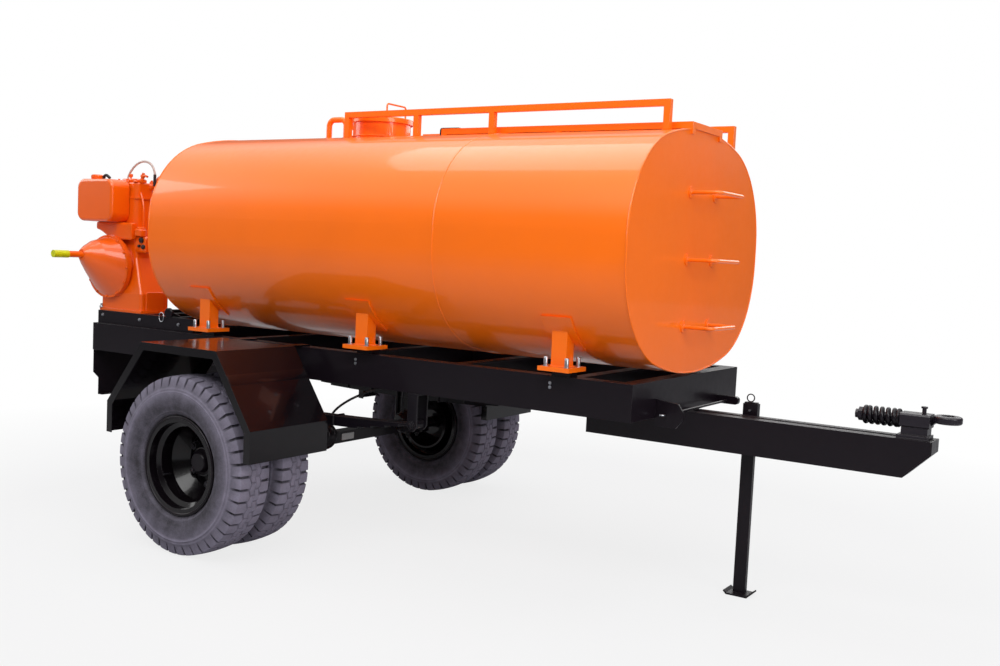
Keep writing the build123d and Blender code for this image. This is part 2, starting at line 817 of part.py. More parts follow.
def front_lugs():
    """The two lugs and the thin rod between them."""
    rod_x = frame_front_x + front_rod_x
    bar = rod((rod_x, -front_lug_y, front_rod_z), (rod_x, front_lug_y, front_rod_z), front_rod_r)
    return near_lug() + far_lug() + bar


# Prop stand

def stand_sleeve():
    """Square sleeve on the drawbar's left face, in which the leg slides."""
    inner_x = stand_leg_x + 2 * stand_clearance
    inner_y = stand_leg_y + 2 * stand_clearance
    z0 = drawbar_bottom_z - sleeve_drop
    height = sleeve_top_z - z0
    tube = Box(inner_x + 2 * sleeve_wall, inner_y + 2 * sleeve_wall, height)
    tube = fillet(tube.edges().filter_by(Axis.Z), 3)
    return Pos(stand_x, stand_y, z0 + height / 2) * (tube - Box(inner_x, inner_y, height + 2))


def stand_leg():
    """Tube leg with a shoe of bent plate and a cap."""
    cap_z = sleeve_top_z + 0.5
    half_x = stand_leg_x / 2
    half_y = stand_leg_y / 2
    tube = box(stand_x - half_x, stand_x + half_x, stand_y - half_y, stand_y + half_y, foot_t, cap_z)
    wall = stand_leg_wall
    tube -= box(stand_x - half_x + wall, stand_x + half_x - wall, stand_y - half_y + wall,
                stand_y + half_y - wall, foot_t, cap_z)
    cap = box(stand_x - half_x, stand_x + half_x, stand_y - half_y, stand_y + half_y,
              cap_z, cap_z + stand_cap_t)
    flat = foot_x / 2
    shoe_outline = polygon([
        (-flat, 0), (flat, 0), (flat + foot_lip, foot_lip), (flat + foot_lip - 4, foot_lip + 5),
        (flat - 3, foot_t), (-flat + 3, foot_t), (-flat - foot_lip + 4, foot_lip + 5),
        (-flat - foot_lip, foot_lip),
    ])
    shoe = extrude_y(Pos(stand_x, 0) * shoe_outline, stand_y - foot_y / 2, stand_y + foot_y / 2)
    return tube + cap + shoe


def stand_ring():
    """Lifting ring welded on the leg's cap."""
    z = sleeve_top_z + 0.5 + stand_cap_t + stand_ring_r + stand_ring_bar_r - 1
    ring = Pos(stand_x - 5, stand_y, z) * (Rot(90, 0, 0) * Torus(stand_ring_r, stand_ring_bar_r))
    half = stand_leg_x / 2
    weld = box(stand_x - half, stand_x + half, stand_y - half, stand_y + half,
               sleeve_top_z, sleeve_top_z + 0.5 + stand_cap_t)
    return ring - weld


# Wheels

def revolve_about_axle(points, y_mid):
    """Ring round the wheel axis from an outline of (y from its middle, radius)."""
    outline = [(y_mid + y, r) for y, r in points]
    face = cross_plane(0) * polygon(outline)
    ring = revolve(face, axis=Axis.Y, revolution_arc=360)
    return Pos(0, 0, tyre_radius) * ring


def tyre(y_mid):
    """One tyre, solid between its beads and its tread."""
    shoulder_r = tyre_radius - tread_drop
    outline = [
        (-rim_half_width + tyre_fit, rim_seat_r + tyre_fit),
        (-rim_half_width + tyre_fit, rim_flange_r + tyre_fit), (-rim_half_width - rim_sheet, rim_flange_r + 8),
        (-tyre_half_width + 6, 268), (-tyre_half_width, 312), (-tyre_half_width + 8, 352),
        (-tread_half_width - 4, shoulder_r - 14), (-tread_half_width, shoulder_r), (0, tyre_radius),
    ]
    outline += [(-y, r) for y, r in reversed(outline[:-1])]
    return revolve_about_axle(outline, y_mid)


def rim(side, y_mid, disc_out_y):
    """Rim barrel and dished disc, its mounting face next to the other wheel's."""
    half = rim_half_width
    t = rim_sheet
    toward = -1 if y_mid > disc_joint_y else 1
    barrel = [
        (-half - t, rim_flange_r), (-half, rim_flange_r), (-half, rim_seat_r), (-half + 34, rim_seat_r - 3),
        (-half + 46, rim_well_r), (half - 46, rim_well_r), (half - 34, rim_seat_r - 3),
        (half, rim_seat_r), (half, rim_flange_r), (half + t, rim_flange_r),
        (half + t, rim_seat_r - t), (half - 30, rim_seat_r - t - 3), (half - 42, rim_well_r - t),
        (-half + 42, rim_well_r - t), (-half + 30, rim_seat_r - t - 3), (-half - t, rim_seat_r - t),
    ]
    start = y_mid + toward * wheel_disc_start
    edge_r = rim_seat_r - t - 2
    face_y = disc_out_y - toward * wheel_disc_t
    disc = [
        (disc_out_y, spindle_r + 44), (disc_out_y, wheel_disc_face_r + 6),
        (start + toward * wheel_disc_edge, edge_r), (start, edge_r),
        (face_y, wheel_disc_face_r), (face_y, spindle_r + 44),
    ]
    wheel = revolve_about_axle(barrel, y_mid) + revolve_about_axle(disc, 0)
    wheel -= stud_ring(disc_out_y - toward * 2 * wheel_disc_t, disc_out_y + toward * 5, wheel_stud_r + 0.5)
    return wheel if side > 0 else mirror_y(wheel)


def stud_ring(y0, y1, r):
    """Ring of round bars along Y on the wheel stud circle."""
    bars = []
    for n in range(wheel_stud_count):
        angle = radians(90 + n * 360 / wheel_stud_count)
        x = wheel_stud_circle_r * cos(angle)
        z = tyre_radius + wheel_stud_circle_r * sin(angle)
        bars.append(rod((x, y0, z), (x, y1, z), r))
    return Compound(children=bars)


def hub(side):
    """Brake drum, flange, nose, grease cap and wheel studs, turning on the spindle."""
    flange_out = disc_joint_y - wheel_disc_t
    flange_in = flange_out - hub_flange_t
    nose_out = flange_out + hub_nose_length
    drum = [
        (drum_inner_y, drum_r - 12), (drum_inner_y, drum_r), (drum_inner_y + 90, drum_r),
        (flange_in - 20, 96), (flange_in, 96), (flange_in, hub_flange_r), (flange_out, hub_flange_r),
        (flange_out, hub_nose_r), (nose_out, hub_nose_r - 6), (nose_out, hub_cap_r),
        (nose_out + hub_cap_length, hub_cap_r - 8), (nose_out + hub_cap_length, 0),
        (nose_out + 6, 0), (nose_out + 6, spindle_r + spindle_clearance),
        (drum_inner_y + 60, spindle_r + spindle_clearance), (drum_inner_y + 60, 72),
        (drum_inner_y + 78, drum_r - 12),
    ]
    body = revolve_about_axle(drum, 0)
    nut_face = disc_joint_y + wheel_disc_t
    body += stud_ring(flange_in + 2, nut_face + wheel_nut_t + 10, wheel_stud_r)
    body += stud_ring(nut_face, nut_face + wheel_nut_t, wheel_nut_r)
    return body if side > 0 else mirror_y(body)


# Running gear

def axle_beam():
    """Square beam with a block at each end that carries the lower, round spindle."""
    knuckle_y = drum_inner_y - 15
    beam = box(-axle_beam_x / 2, axle_beam_x / 2, -knuckle_y, knuckle_y, axle_beam_z0, axle_beam_z1)
    nose_out = disc_joint_y - wheel_disc_t + hub_nose_length
    half = knuckle_x / 2
    for side in (-1, 1):
        y0 = side * (knuckle_y - knuckle_length)
        y1 = side * knuckle_y
        block = box(-half, half, y0, y1, tyre_radius - half, axle_beam_z1)
        block = fillet(block.edges().filter_by(Axis.Y), 8)
        spindle = rod((0, y0, tyre_radius), (0, side * (nose_out + 4), tyre_radius), spindle_r)
        beam += block + spindle
    return beam


def leaf_line(x):
    """Height of the main leaf's top at a distance from the axle."""
    return spring_seat_z + leaf_count * leaf_t + leaf_camber * (x / leaf_half_length) ** 2


def leaf_spring(side):
    """Pack of stepped leaves, rolled into an eye at each end of the main leaf."""
    y = side * leaf_y
    faces = None
    for n in range(leaf_count):
        reach = leaf_half_length - (n * leaf_step if n else leaf_eye_bore_r + 3)
        drop = n * leaf_t
        upper = [(-reach, leaf_line(reach) - drop), (0, leaf_line(0) - drop), (reach, leaf_line(reach) - drop)]
        lower = [(x, z - leaf_t) for x, z in upper]
        outline = [ThreePointArc(*upper), Line(upper[2], lower[2]),
                   ThreePointArc(*reversed(lower)), Line(lower[0], upper[0])]
        leaf = make_face(outline)
        faces = leaf if faces is None else faces + leaf
    pack = extrude_y(faces, y - leaf_width / 2, y + leaf_width / 2)
    for end in (-1, 1):
        x = end * leaf_half_length
        z = leaf_line(leaf_half_length) - leaf_t / 2
        eye = rod((x, y - leaf_width / 2, z), (x, y + leaf_width / 2, z), leaf_eye_r)
        pack += eye
        pack -= rod((x, y - leaf_width, z), (x, y + leaf_width, z), leaf_eye_bore_r)
    return pack


def leaf_springs():
    """A leaf spring under each side rail."""
    return Compound(children=[leaf_spring(side) for side in (-1, 1)])


def spring_clamp(side):
    """Seat on the axle, U-bolts round the beam and plates above and below."""
    y = side * leaf_y
    half = spring_seat_x / 2
    half_y = leaf_width / 2 + 2 * u_bolt_r + 6
    top_z = spring_seat_z + leaf_count * leaf_t
    seat = box(-half, half, y - leaf_width / 2, y + leaf_width / 2, axle_beam_z1, spring_seat_z)
    upper = box(-half, half, y - half_y, y + half_y, top_z + 0.3, top_z + clamp_plate_t)
    lower = box(-half, half, y - half_y, y + half_y, axle_beam_z0 - clamp_plate_t, axle_beam_z0)
    clamp = seat + upper + lower
    bolt_x = axle_beam_x / 2 + u_bolt_r + 1
    bolt_y = leaf_width / 2 + u_bolt_r + 2
    for dx in (-1, 1):
        for dy in (-1, 1):
            x = dx * bolt_x
            clamp += rod((x, y + dy * bolt_y, axle_beam_z0 - 2 * clamp_plate_t),
                         (x, y + dy * bolt_y, top_z + 2 * clamp_plate_t), u_bolt_r)
    web_x = bolt_x + u_bolt_r
    for dy in (-1, 1):
        yb = y + dy * (leaf_width / 2)
        clamp += box(-web_x, web_x, yb, yb + dy * 2, axle_beam_z1, spring_seat_z)
    return clamp


def spring_clamps():
    """The clamps of both leaf springs."""
    return Compound(children=[spring_clamp(side) for side in (-1, 1)])


def hanger(side, end):
    """Pair of cheeks under a side rail, with the pin through the spring's eye."""
    x = end * leaf_half_length
    y = side * leaf_y
    z = leaf_line(leaf_half_length) - leaf_t / 2
    half = hanger_width_x / 2
    cheek = polygon([(x - half, frame_bottom_z), (x + half, frame_bottom_z),
                     (x + 26, z - 8), (x + 10, z - 28), (x - 10, z - 28), (x - 26, z - 8)])
    piece = box(x - half, x + half, y - leaf_width / 2 - hanger_t - 1, y + leaf_width / 2 + hanger_t + 1,
                frame_bottom_z - hanger_t, frame_bottom_z)
    for dy in (-1, 1):
        y0 = y + dy * (leaf_width / 2 + 1)
        piece += extrude_y(cheek, min(y0, y0 + dy * hanger_t), max(y0, y0 + dy * hanger_t))
    pin_half = leaf_width / 2 + hanger_t + 8
    return piece + rod((x, y - pin_half, z), (x, y + pin_half, z), leaf_eye_bore_r - 0.2)


def spring_hangers():
    """Four spring hangers."""
    return Compound(children=[hanger(side, end) for side in (-1, 1) for end in (-1, 1)])


# Mudguards

def guard_outline(inset):
    """Face inside the guard's outline, moved in by a distance, carried on far below its lower edges."""
    top_z = frame_top_z + guard_bar_t + guard_sheet
    face = polygon([(guard_rear_x, 0), (guard_rear_x, guard_rear_knee_z), (-guard_top_half_x, top_z),
                    (guard_top_half_x, top_z), (guard_front_x, guard_front_knee_z), (guard_front_x, 0)])
    return offset(face, -inset, kind=Kind.INTERSECTION) if inset else face


def mudguard(side):
    """Folded sheet over the twin wheels, edge lips and two bars onto the side rail."""
    outer = guard_outline(0)
    sheet = outer - guard_outline(guard_sheet)
    lip = outer - guard_outline(guard_lip)
    below = polygon([(guard_rear_x - 1, guard_rear_z), (guard_front_x + 1, guard_front_z),
                     (guard_front_x + 1, -1), (guard_rear_x - 1, -1)])
    trim = extrude_y(below, guard_inner_y - 1, guard_outer_y + 1)
    guard = extrude_y(sheet, guard_inner_y, guard_outer_y)
    guard += extrude_y(lip, guard_outer_y - guard_sheet, guard_outer_y)
    guard += extrude_y(lip, guard_inner_y, guard_inner_y + guard_sheet)
    guard -= trim
    for x in (-guard_bar_x, guard_bar_x):
        guard += box(x - guard_bar_width / 2, x + guard_bar_width / 2,
                     frame_width / 2 - rail_flange + 10, guard_outer_y - guard_lip,
                     frame_top_z, frame_top_z + guard_bar_t)
    return guard if side > 0 else mirror_y(guard)


# Engine

def engine_base():
    """Frame of small channels across both side rails, under the engine."""
    section = channel(base_height, base_flange, base_wall, base_wall)
    z = frame_top_z + base_height / 2
    near = extrude_x(Pos(-base_half_y, z) * section, frame_rear_x + 6, base_front_x)
    frame = near + mirror_y(near)
    inner = base_half_y - base_wall
    cross = channel(base_height - 2 * base_wall, base_flange, base_wall, base_wall)
    for x in base_cross_xs:
        frame += extrude_y(Pos(x, z) * cross, -inner, inner)
    cover = box(frame_rear_x + 6, crankcase_x1 + 60, crank_near_y, crank_far_y,
                base_top_z - base_wall, base_top_z)
    return frame + cover


def case_section(x0, x1, y0, y1, z, inset, r):
    """Rounded rectangle at a height, moved in by a distance."""
    width = x1 - x0 - 2 * inset
    depth = y1 - y0 - 2 * inset
    return Pos((x0 + x1) / 2, (y0 + y1) / 2, z) * RectangleRounded(width, depth, r)


def case_solid(inset, low_z, top_z):
    """The crankcase's form: upright foot, sides that lean in, upright neck."""
    foot = (crankcase_x0, crankcase_x1, crank_near_y, crank_far_y)
    neck = (cylinder_x0 - 8, cylinder_x1 + 8, cylinder_near_y, cylinder_far_y)
    r = 18 - inset / 3
    solid = extrude(case_section(*foot, low_z, inset, r), amount=crankcase_foot_z - low_z)
    solid += loft([case_section(*foot, crankcase_foot_z, inset, r), case_section(*neck, crankcase_neck_z, inset, r)])
    return solid + extrude(case_section(*neck, crankcase_neck_z, inset, r), amount=top_z - crankcase_neck_z)


def crankcase():
    """Cast case, hollow and open below, with a foot flange."""
    flange = box(crankcase_x0 - 2, crankcase_x1 + 10, crank_near_y - 6, crank_far_y + 8, base_top_z, base_top_z + 14)
    case = case_solid(0, base_top_z, crankcase_top_z) + flange
    return case - case_solid(crankcase_wall, base_top_z - 1, crankcase_top_z - crankcase_wall)


def cylinder():
    """Cylinder block and head with a flange between them."""
    y0 = cylinder_near_y
    y1 = cylinder_far_y
    x0 = cylinder_x0
    x1 = cylinder_x1
    block = fillet(box(x0, x1, y0, y1, crankcase_top_z, cylinder_joint_z).edges().filter_by(Axis.Z), 34)
    joint = fillet(box(x0 - 8, x1 + 8, y0 - 2, y1 + 8, cylinder_joint_z - head_flange_t / 2,
                       cylinder_joint_z + head_flange_t / 2).edges().filter_by(Axis.Z), 34)
    head = box(x0 + 6, x1 - 6, y0 + 6, y1 - 6, cylinder_joint_z, cylinder_top_z)
    head = fillet(head.edges().filter_by(Axis.Z), 30)
    head = fillet(head.faces().sort_by(Axis.Z)[-1].edges(), 10)
    foot = box(x0 - 10, x1 + 10, y0 - 2, y1 + 10, crankcase_top_z, crankcase_top_z + head_flange_t)
    return block + joint + head + foot


def cowl_cone(inset):
    """The cowl's rising form, its radii moved in by a distance."""
    near = crank_near_y - cowl_rim
    sections = ((0, 0, cowl_r - 12), (0.5, 0.6, 0.6 * cowl_r), (0.8, 0.85, 0.36 * cowl_r), (1, 1, shaft_r + 12))
    circles = []
    for depth, shift, r in sections:
        x = cowl_x + shift * (shaft_x - cowl_x)
        z = cowl_z + shift * (shaft_z - cowl_z)
        plane = Plane(origin=(x, near - depth * (cowl_depth - inset), z), x_dir=(1, 0, 0), z_dir=(0, -1, 0))
        circles.append(plane * Circle(r - inset))
    cone = loft(circles[:2], ruled=True)
    for pair in zip(circles[1:], circles[2:]):
        cone += loft(pair, ruled=True)
    return cone


def fan_cowl():
    """Round sheet cowl that rises to an off-centre nose round the starting shaft."""
    near = crank_near_y
    rim = rod((cowl_x, near, cowl_z), (cowl_x, near - cowl_rim, cowl_z), cowl_r)
    neck = rod((cowl_x, near, cowl_z), (cowl_x, cylinder_near_y, cowl_z), cowl_neck_r) - case_solid(
        0, base_top_z, crankcase_top_z)
    inside = rod((cowl_x, near - cowl_sheet, cowl_z), (cowl_x, near - cowl_rim, cowl_z), cowl_r - 12 - cowl_sheet)
    inside += rod((cowl_x, near - cowl_sheet - 1, cowl_z), (cowl_x, cylinder_near_y + 1, cowl_z),
                  cowl_neck_r - cowl_sheet)
    bore = rod((shaft_x, near - cowl_rim - cowl_depth + 20, shaft_z),
               (shaft_x, near - cowl_rim - cowl_depth - 1, shaft_z), shaft_r + 0.3)
    return rim + neck + cowl_cone(0) - cowl_cone(cowl_sheet) - inside - bore


def starting_shaft():
    """Hand-starting shaft out of the cowl, with a collar at its root."""
    root = crank_near_y - cowl_rim - cowl_depth
    shaft = rod((shaft_x, root + 19.5, shaft_z), (shaft_x, shaft_tip_y + 4, shaft_z), shaft_r)
    return shaft


def shaft_sleeve():
    """Loose-coloured guard sleeve over the end of the starting shaft."""
    end = (shaft_x, shaft_tip_y, shaft_z)
    sleeve = rod(end, (shaft_x, shaft_tip_y + shaft_sleeve_length, shaft_z), shaft_r + shaft_sleeve_wall)
    return sleeve - rod((shaft_x, shaft_tip_y + 4, shaft_z),
                        (shaft_x, shaft_tip_y + shaft_sleeve_length + 1, shaft_z), shaft_r)


def fuel_tank():
    """Rounded sheet fuel tank beside the cylinder, with a filler cap and an outlet below."""
    body = box(fuel_tank_x0, fuel_tank_x1, fuel_tank_near_y, fuel_tank_far_y, fuel_tank_z0, fuel_tank_z1)
    body = fillet(body.edges().filter_by(Axis.Y), fuel_tank_round)
    body = fillet(body.faces().sort_by(Axis.Y)[0].edges(), 16)
    wall = fuel_tank_wall
    hollow = box(fuel_tank_x0 + wall, fuel_tank_x1 - wall, fuel_tank_near_y + wall, fuel_tank_far_y - wall,
                 fuel_tank_z0 + wall, fuel_tank_z1 - wall)
    hollow = fillet(hollow.edges().filter_by(Axis.Y), fuel_tank_round - wall)
    hollow = fillet(hollow.faces().sort_by(Axis.Y)[0].edges(), 16 - wall)
    y = (fuel_tank_near_y + fuel_tank_far_y) / 2
    cap = rod((fuel_cap_x, y, fuel_tank_z1 - 2), (fuel_cap_x, y, fuel_tank_z1 + fuel_cap_h), fuel_cap_r)
    outlet = rod((fuel_cap_x, y, fuel_tank_z0 - 1), (fuel_cap_x, y, fuel_tank_z0 + 2 * wall), fuel_outlet_r)
    return body + cap - hollow - outlet


def fuel_bracket():
    """Shelf under the fuel tank, carried by the crankcase."""
    x0 = fuel_tank_x0 + 66
    x1 = cylinder_x1 + 8
    top = fuel_tank_z0 - 0.3
    low = crankcase_top_z - 28
    shelf = box(x0, x1, crank_near_y, cylinder_near_y - 2.3, low, top)
    return shelf + box(x0 + 120, x1, crank_near_y, cylinder_near_y, low, crankcase_top_z - 0.5)


def fuel_hose():
    """Clear return hose that loops over the head, from its rear to its front face."""
    y = (cylinder_near_y + cylinder_far_y) / 2
    top = cylinder_top_z
    front = cylinder_x1 - 6
    points = [(cylinder_x0 + 34, top), (cylinder_x0 + 34, top + 24), (cylinder_x0 - 34, top + 40),
              (cylinder_x1 - 40, top + 116), (cylinder_x1 + 62, top + 60), (cylinder_x1 + 62, top - 34),
              (front, top - 34)]
    path = FilletPolyline(*[(x, y, z) for x, z in points], radius=[8, 14, 60, 42, 22])
    return sweep(Plane(origin=(points[0][0], y, points[0][1]), z_dir=path % 0) * Circle(hose_r), path=path)


def build_all():
    """Every sub-part by name, in the frame of the wheel axis."""
    parts = {
        "side_rails": side_rails(), "end_beams": end_beams(), "cross_members": cross_members(),
        "drawbar": drawbar(), "drawbar_end": drawbar_end(), "draw_housing": draw_housing(),
        "draw_spring": draw_spring(), "tow_eye": tow_eye(), "lock_pin": lock_pin(),
        "front_lugs": front_lugs(), "stand_sleeve": stand_sleeve(), "stand_leg": stand_leg(),
        "stand_ring": stand_ring(),
        "axle_beam": axle_beam(), "leaf_springs": leaf_springs(), "spring_clamps": spring_clamps(),
        "spring_hangers": spring_hangers(), "rear_panel": rear_panel(), "tail_lamps": tail_lamps(),
        "mudguard_right": mudguard(-1), "mudguard_left": mudguard(1),
        "tank_barrel_rear": tank_barrel_rear(), "tank_barrel_front": tank_barrel_front(),
        "tank_rear_end": tank_rear_end(), "tank_front_end": tank_front_end(),
        "tank_supports": tank_supports(), "support_packers": support_packers(), "manhole_neck": manhole_neck(),
        "manhole_lid": manhole_lid(), "lid_handle": lid_handle(), "breather_pipe": breather_pipe(),
        "handrail": handrail(), "edge_rail": edge_rail(),
        "walkway_frame": walkway_frame(), "front_steps": front_steps(),
        "engine_base": engine_base(), "crankcase": crankcase(), "cylinder": cylinder(),
        "fan_cowl": fan_cowl(), "starting_shaft": starting_shaft(), "shaft_sleeve": shaft_sleeve(),
        "fuel_tank": fuel_tank(), "fuel_bracket": fuel_bracket(), "fuel_hose": fuel_hose(),
    }
    for name, side in (("right", -1), ("left", 1)):
        for place, y in (("outer", outer_wheel_y), ("inner", inner_wheel_y)):
            parts[f"tyre_{place}_{name}"] = tyre(side * y)
            parts[f"rim_{place}_{name}"] = rim(side, y, disc_joint_y)
        parts[f"hub_{name}"] = hub(side)
    return parts


def export_all():
    """Write one STEP file for each sub-part, shifted to the trailer's origin."""
    os.makedirs("parts", exist_ok=True)
    for name, shape in build_all().items():
        export_step(Pos(-origin_x, 0, 0) * shape, f"parts/{name}.step")


if __name__ == "__main__":
    export_all()
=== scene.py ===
import json
from math import cos, pi, radians, sin

import bpy
import numpy as np
from bpy.props import FloatProperty, FloatVectorProperty, IntProperty, PointerProperty
from mathutils import Matrix, Vector


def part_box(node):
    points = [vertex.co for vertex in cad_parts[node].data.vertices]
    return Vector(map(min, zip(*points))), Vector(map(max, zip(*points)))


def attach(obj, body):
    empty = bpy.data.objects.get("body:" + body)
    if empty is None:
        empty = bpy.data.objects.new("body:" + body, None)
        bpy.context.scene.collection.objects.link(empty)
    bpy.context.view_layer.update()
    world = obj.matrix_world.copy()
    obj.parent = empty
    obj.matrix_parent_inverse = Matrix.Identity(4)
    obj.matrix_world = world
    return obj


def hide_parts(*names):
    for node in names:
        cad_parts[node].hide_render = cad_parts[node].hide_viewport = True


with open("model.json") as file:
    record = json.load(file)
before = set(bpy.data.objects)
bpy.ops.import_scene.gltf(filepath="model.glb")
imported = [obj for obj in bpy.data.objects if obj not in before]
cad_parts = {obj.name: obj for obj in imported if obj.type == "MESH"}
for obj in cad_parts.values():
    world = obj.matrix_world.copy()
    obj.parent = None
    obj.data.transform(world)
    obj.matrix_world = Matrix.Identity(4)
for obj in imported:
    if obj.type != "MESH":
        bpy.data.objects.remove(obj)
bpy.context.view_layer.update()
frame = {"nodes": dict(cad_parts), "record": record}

bl_info = {
    "name": "Tank Trailer",
    "version": (1, 0, 0),
    "blender": (4, 5, 0),
    "location": "3D View > Sidebar > Tank Trailer",
    "description": "Finishes, tyres, spring, fittings and stage of a towed tank trailer",
    "category": "Object",
}

# Lengths in this file are millimetres from the wheel axis and the floor, with +X towards the tow eye
# and +Y to the left. place() turns them into metres in the shared frame.
TYRE_LOW, TYRE_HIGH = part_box("tyre_outer_right")
AXLE_X = (TYRE_LOW.x + TYRE_HIGH.x) / 2
TYRE_R = 500 * (TYRE_HIGH.z - TYRE_LOW.z)
TYRE_Y = {name: 500 * (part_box(name)[0].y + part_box(name)[1].y)
          for name in ("tyre_outer_right", "tyre_inner_right", "tyre_outer_left", "tyre_inner_left")}

# Oval of the tank: half width, half height and the radii of its top, side and corner arcs
TANK_Z = 1460.0
OVAL = (699.0, 515.0, 1400.0, 1200.0, 440.0)
TANK_X = (-759.0, 1041.0, 1946.0)
SUPPORT_X = (-450.0, 583.0, 1616.0)
SUPPORT_Y = 558.0
PLATE_TOP_Z = 974.0
STUD_OFFSET = (48.5, 47.5)
SPRING_Y = 534.5
AXLE_TOP_Z = 445.0


def linear(code):
    """sRGB hex colour as linear red, green and blue."""
    srgb = np.array([int(code[n:n + 2], 16) for n in (1, 3, 5)]) / 255
    return tuple(float(v) for v in np.where(srgb <= 0.04045, srgb / 12.92, ((srgb + 0.055) / 1.055) ** 2.4))


class TrailerSizes(bpy.types.PropertyGroup):
    """Sizes of the dressed pieces that a user may change."""

    tread_depth: FloatProperty(
        name="Tread depth", description="Depth of the tyre's grooves and shoulder slots",
        default=0.010, min=0.002, max=0.014, unit="LENGTH")
    tread_pitches: IntProperty(
        name="Tread pitches", description="Number of shoulder lugs round each tyre", default=44, min=24, max=72)
    bead_radius: FloatProperty(
        name="Weld bead", description="Radius of the weld beads on the tank", default=0.004,
        min=0.001, max=0.01, unit="LENGTH")
    coil_turns: FloatProperty(
        name="Spring turns", description="Turns of the draw spring", default=7.0, min=4.0, max=9.0)
    coil_wire: FloatProperty(
        name="Spring wire", description="Wire radius of the draw spring", default=0.0086,
        min=0.004, max=0.0092, unit="LENGTH")
    nut_flat: FloatProperty(
        name="Nut size", description="Half the width across flats of the support nuts", default=0.012,
        min=0.006, max=0.016, unit="LENGTH")


def colour_property(label, text, code):
    """A colour setting whose default is an sRGB hex value."""
    return FloatVectorProperty(name=label, description=text, subtype="COLOR", size=3, min=0.0, max=1.0,
                               default=linear(code))


class TrailerColours(bpy.types.PropertyGroup):
    """Colours of the finishes."""

    tank: colour_property("Tank enamel", "Gloss orange of the tank, rails and steps", "#FC7000")
    engine: colour_property("Engine enamel", "Orange of the engine's castings and sheet parts", "#EC5E00")
    chassis: colour_property("Chassis paint", "Satin black of the frame and drawbar", "#140E14")
    guard: colour_property("Guard paint", "Gloss black of the mudguards", "#0B070B")
    # Tyres mix these two by their dust values, which carry dust and painted shade in the grooves
    rubber_light: colour_property("Dusty rubber", "Tyre rubber where dust lies on it", "#857F90")
    rubber_dark: colour_property("Bare rubber", "Tyre rubber in its grooves and beside the rim", "#2C292F")
    sleeve: colour_property("Sleeve plastic", "Yellow-green of the shaft's sleeve", "#C6CA08")


# Shapes: each is (points, [faces of equal length, ...]) in millimetres


def outward(points, faces):
    """Turns all faces round where the closed form's signed volume is negative."""
    volume = 0.0
    for group in faces:
        corner = points[group]
        volume += (corner[:, :1] * np.cross(corner[:, 1:-1], corner[:, 2:])).sum()
    return points, faces if volume > 0 else [group[:, ::-1] for group in faces]


def skin(sections, ring=False):
    """Closed loops in order, point (i, j) joined to (i + 1, j) and (i, j + 1) by quads.

    The first and last loops are capped, or joined to each other where ring is true.
    """
    sections = np.asarray(sections, float)
    rows, cols = sections.shape[:2]
    i = np.arange(rows if ring else rows - 1)[:, None]
    j = np.arange(cols)[None, :]
    after = (i + 1) % rows * cols
    beside = (j + 1) % cols
    quads = np.stack([i * cols + j, i * cols + beside, after + beside, after + j], -1).reshape(-1, 4)
    faces = [quads]
    if not ring:
        loop = np.arange(cols)[None, :]
        faces += [loop[:, ::-1], loop + (rows - 1) * cols]
    return outward(sections.reshape(-1, 3), faces)


def joined(parts):
    """Several shapes as one."""
    points = np.concatenate([part[0] for part in parts])
    starts = np.cumsum([0] + [len(part[0]) for part in parts[:-1]])
    return points, [group + start for part, start in zip(parts, starts) for group in part[1]]


def axes_of(direction):
    """Two directions across an axis, and the axis itself."""
    axis = np.asarray(direction, float) / np.linalg.norm(direction)
    across = np.cross(axis, (0, 0, 1) if abs(axis[2]) < 0.9 else (1, 0, 0))
    across /= np.linalg.norm(across)
    return across, np.cross(axis, across), axis


def turned(profile, centre, direction, sides=32):
    """Outline of (distance, radius) turned about an axis: centre + distance axis + radius (cos t, sin t)."""
    u, v, axis = axes_of(direction)
    t = 2 * pi * np.arange(sides) / sides
    circle = np.cos(t)[:, None] * u + np.sin(t)[:, None] * v
    profile = np.asarray(profile, float)
    sections = np.asarray(centre, float) + profile[:, :1, None] * axis + profile[:, 1:, None] * circle
    return skin(sections)


def tube(path, radius, side, sides=10, ring=False):
    """Circle carried along a path: path + radius (cos t side + sin t (tangent x side))."""
    path = np.asarray(path, float)
    tangent = np.roll(path, -1, 0) - np.roll(path, 1, 0) if ring else np.gradient(path, axis=0)
    tangent /= np.linalg.norm(tangent, axis=1, keepdims=True)
    side = np.broadcast_to(np.asarray(side, float), path.shape)
    side = side - (side * tangent).sum(1, keepdims=True) * tangent
    side /= np.linalg.norm(side, axis=1, keepdims=True)
    up = np.cross(tangent, side)
    t = 2 * pi * np.arange(sides) / sides
    circle = np.cos(t)[None, :, None] * side[:, None] + np.sin(t)[None, :, None] * up[:, None]
    radius = np.broadcast_to(radius, (len(path),))
    return skin(path[:, None] + radius[:, None, None] * circle, ring)


def rounded(points, rounds=3):
    """Corner cutting: each round puts points at a quarter and three quarters of every run."""
    path = np.asarray(points, float)
    for _ in range(rounds):
        cuts = np.stack([0.75 * path[:-1] + 0.25 * path[1:], 0.25 * path[:-1] + 0.75 * path[1:]], 1)
        path = np.concatenate([path[:1], cuts.reshape(-1, path.shape[1]), path[-1:]])
    return path


def pipe(points, radius, side=(0.2, 0.3, 1), sides=12):
    """Round pipe along rounded runs."""
    return tube(rounded(points), radius, side, sides)


def slab(outline, thickness, origin, u, v, edge=1.5):
    """Flat plate: a rounded-off outline in the plane of u and v, its two faces set in by the edge."""
    outline = np.asarray(outline, float)
    u = np.asarray(u, float)
    v = np.asarray(v, float)
    normal = np.cross(u, v)
    middle = outline.mean(0)
    shrunk = middle + (outline - middle) * (1 - edge / np.abs(outline - middle).max())
    levels = ((0, shrunk), (edge, outline), (thickness - edge, outline), (thickness, shrunk))
    sections = [np.asarray(origin, float) + h * normal + ring[:, :1] * u + ring[:, 1:] * v for h, ring in levels]
    return skin(sections)


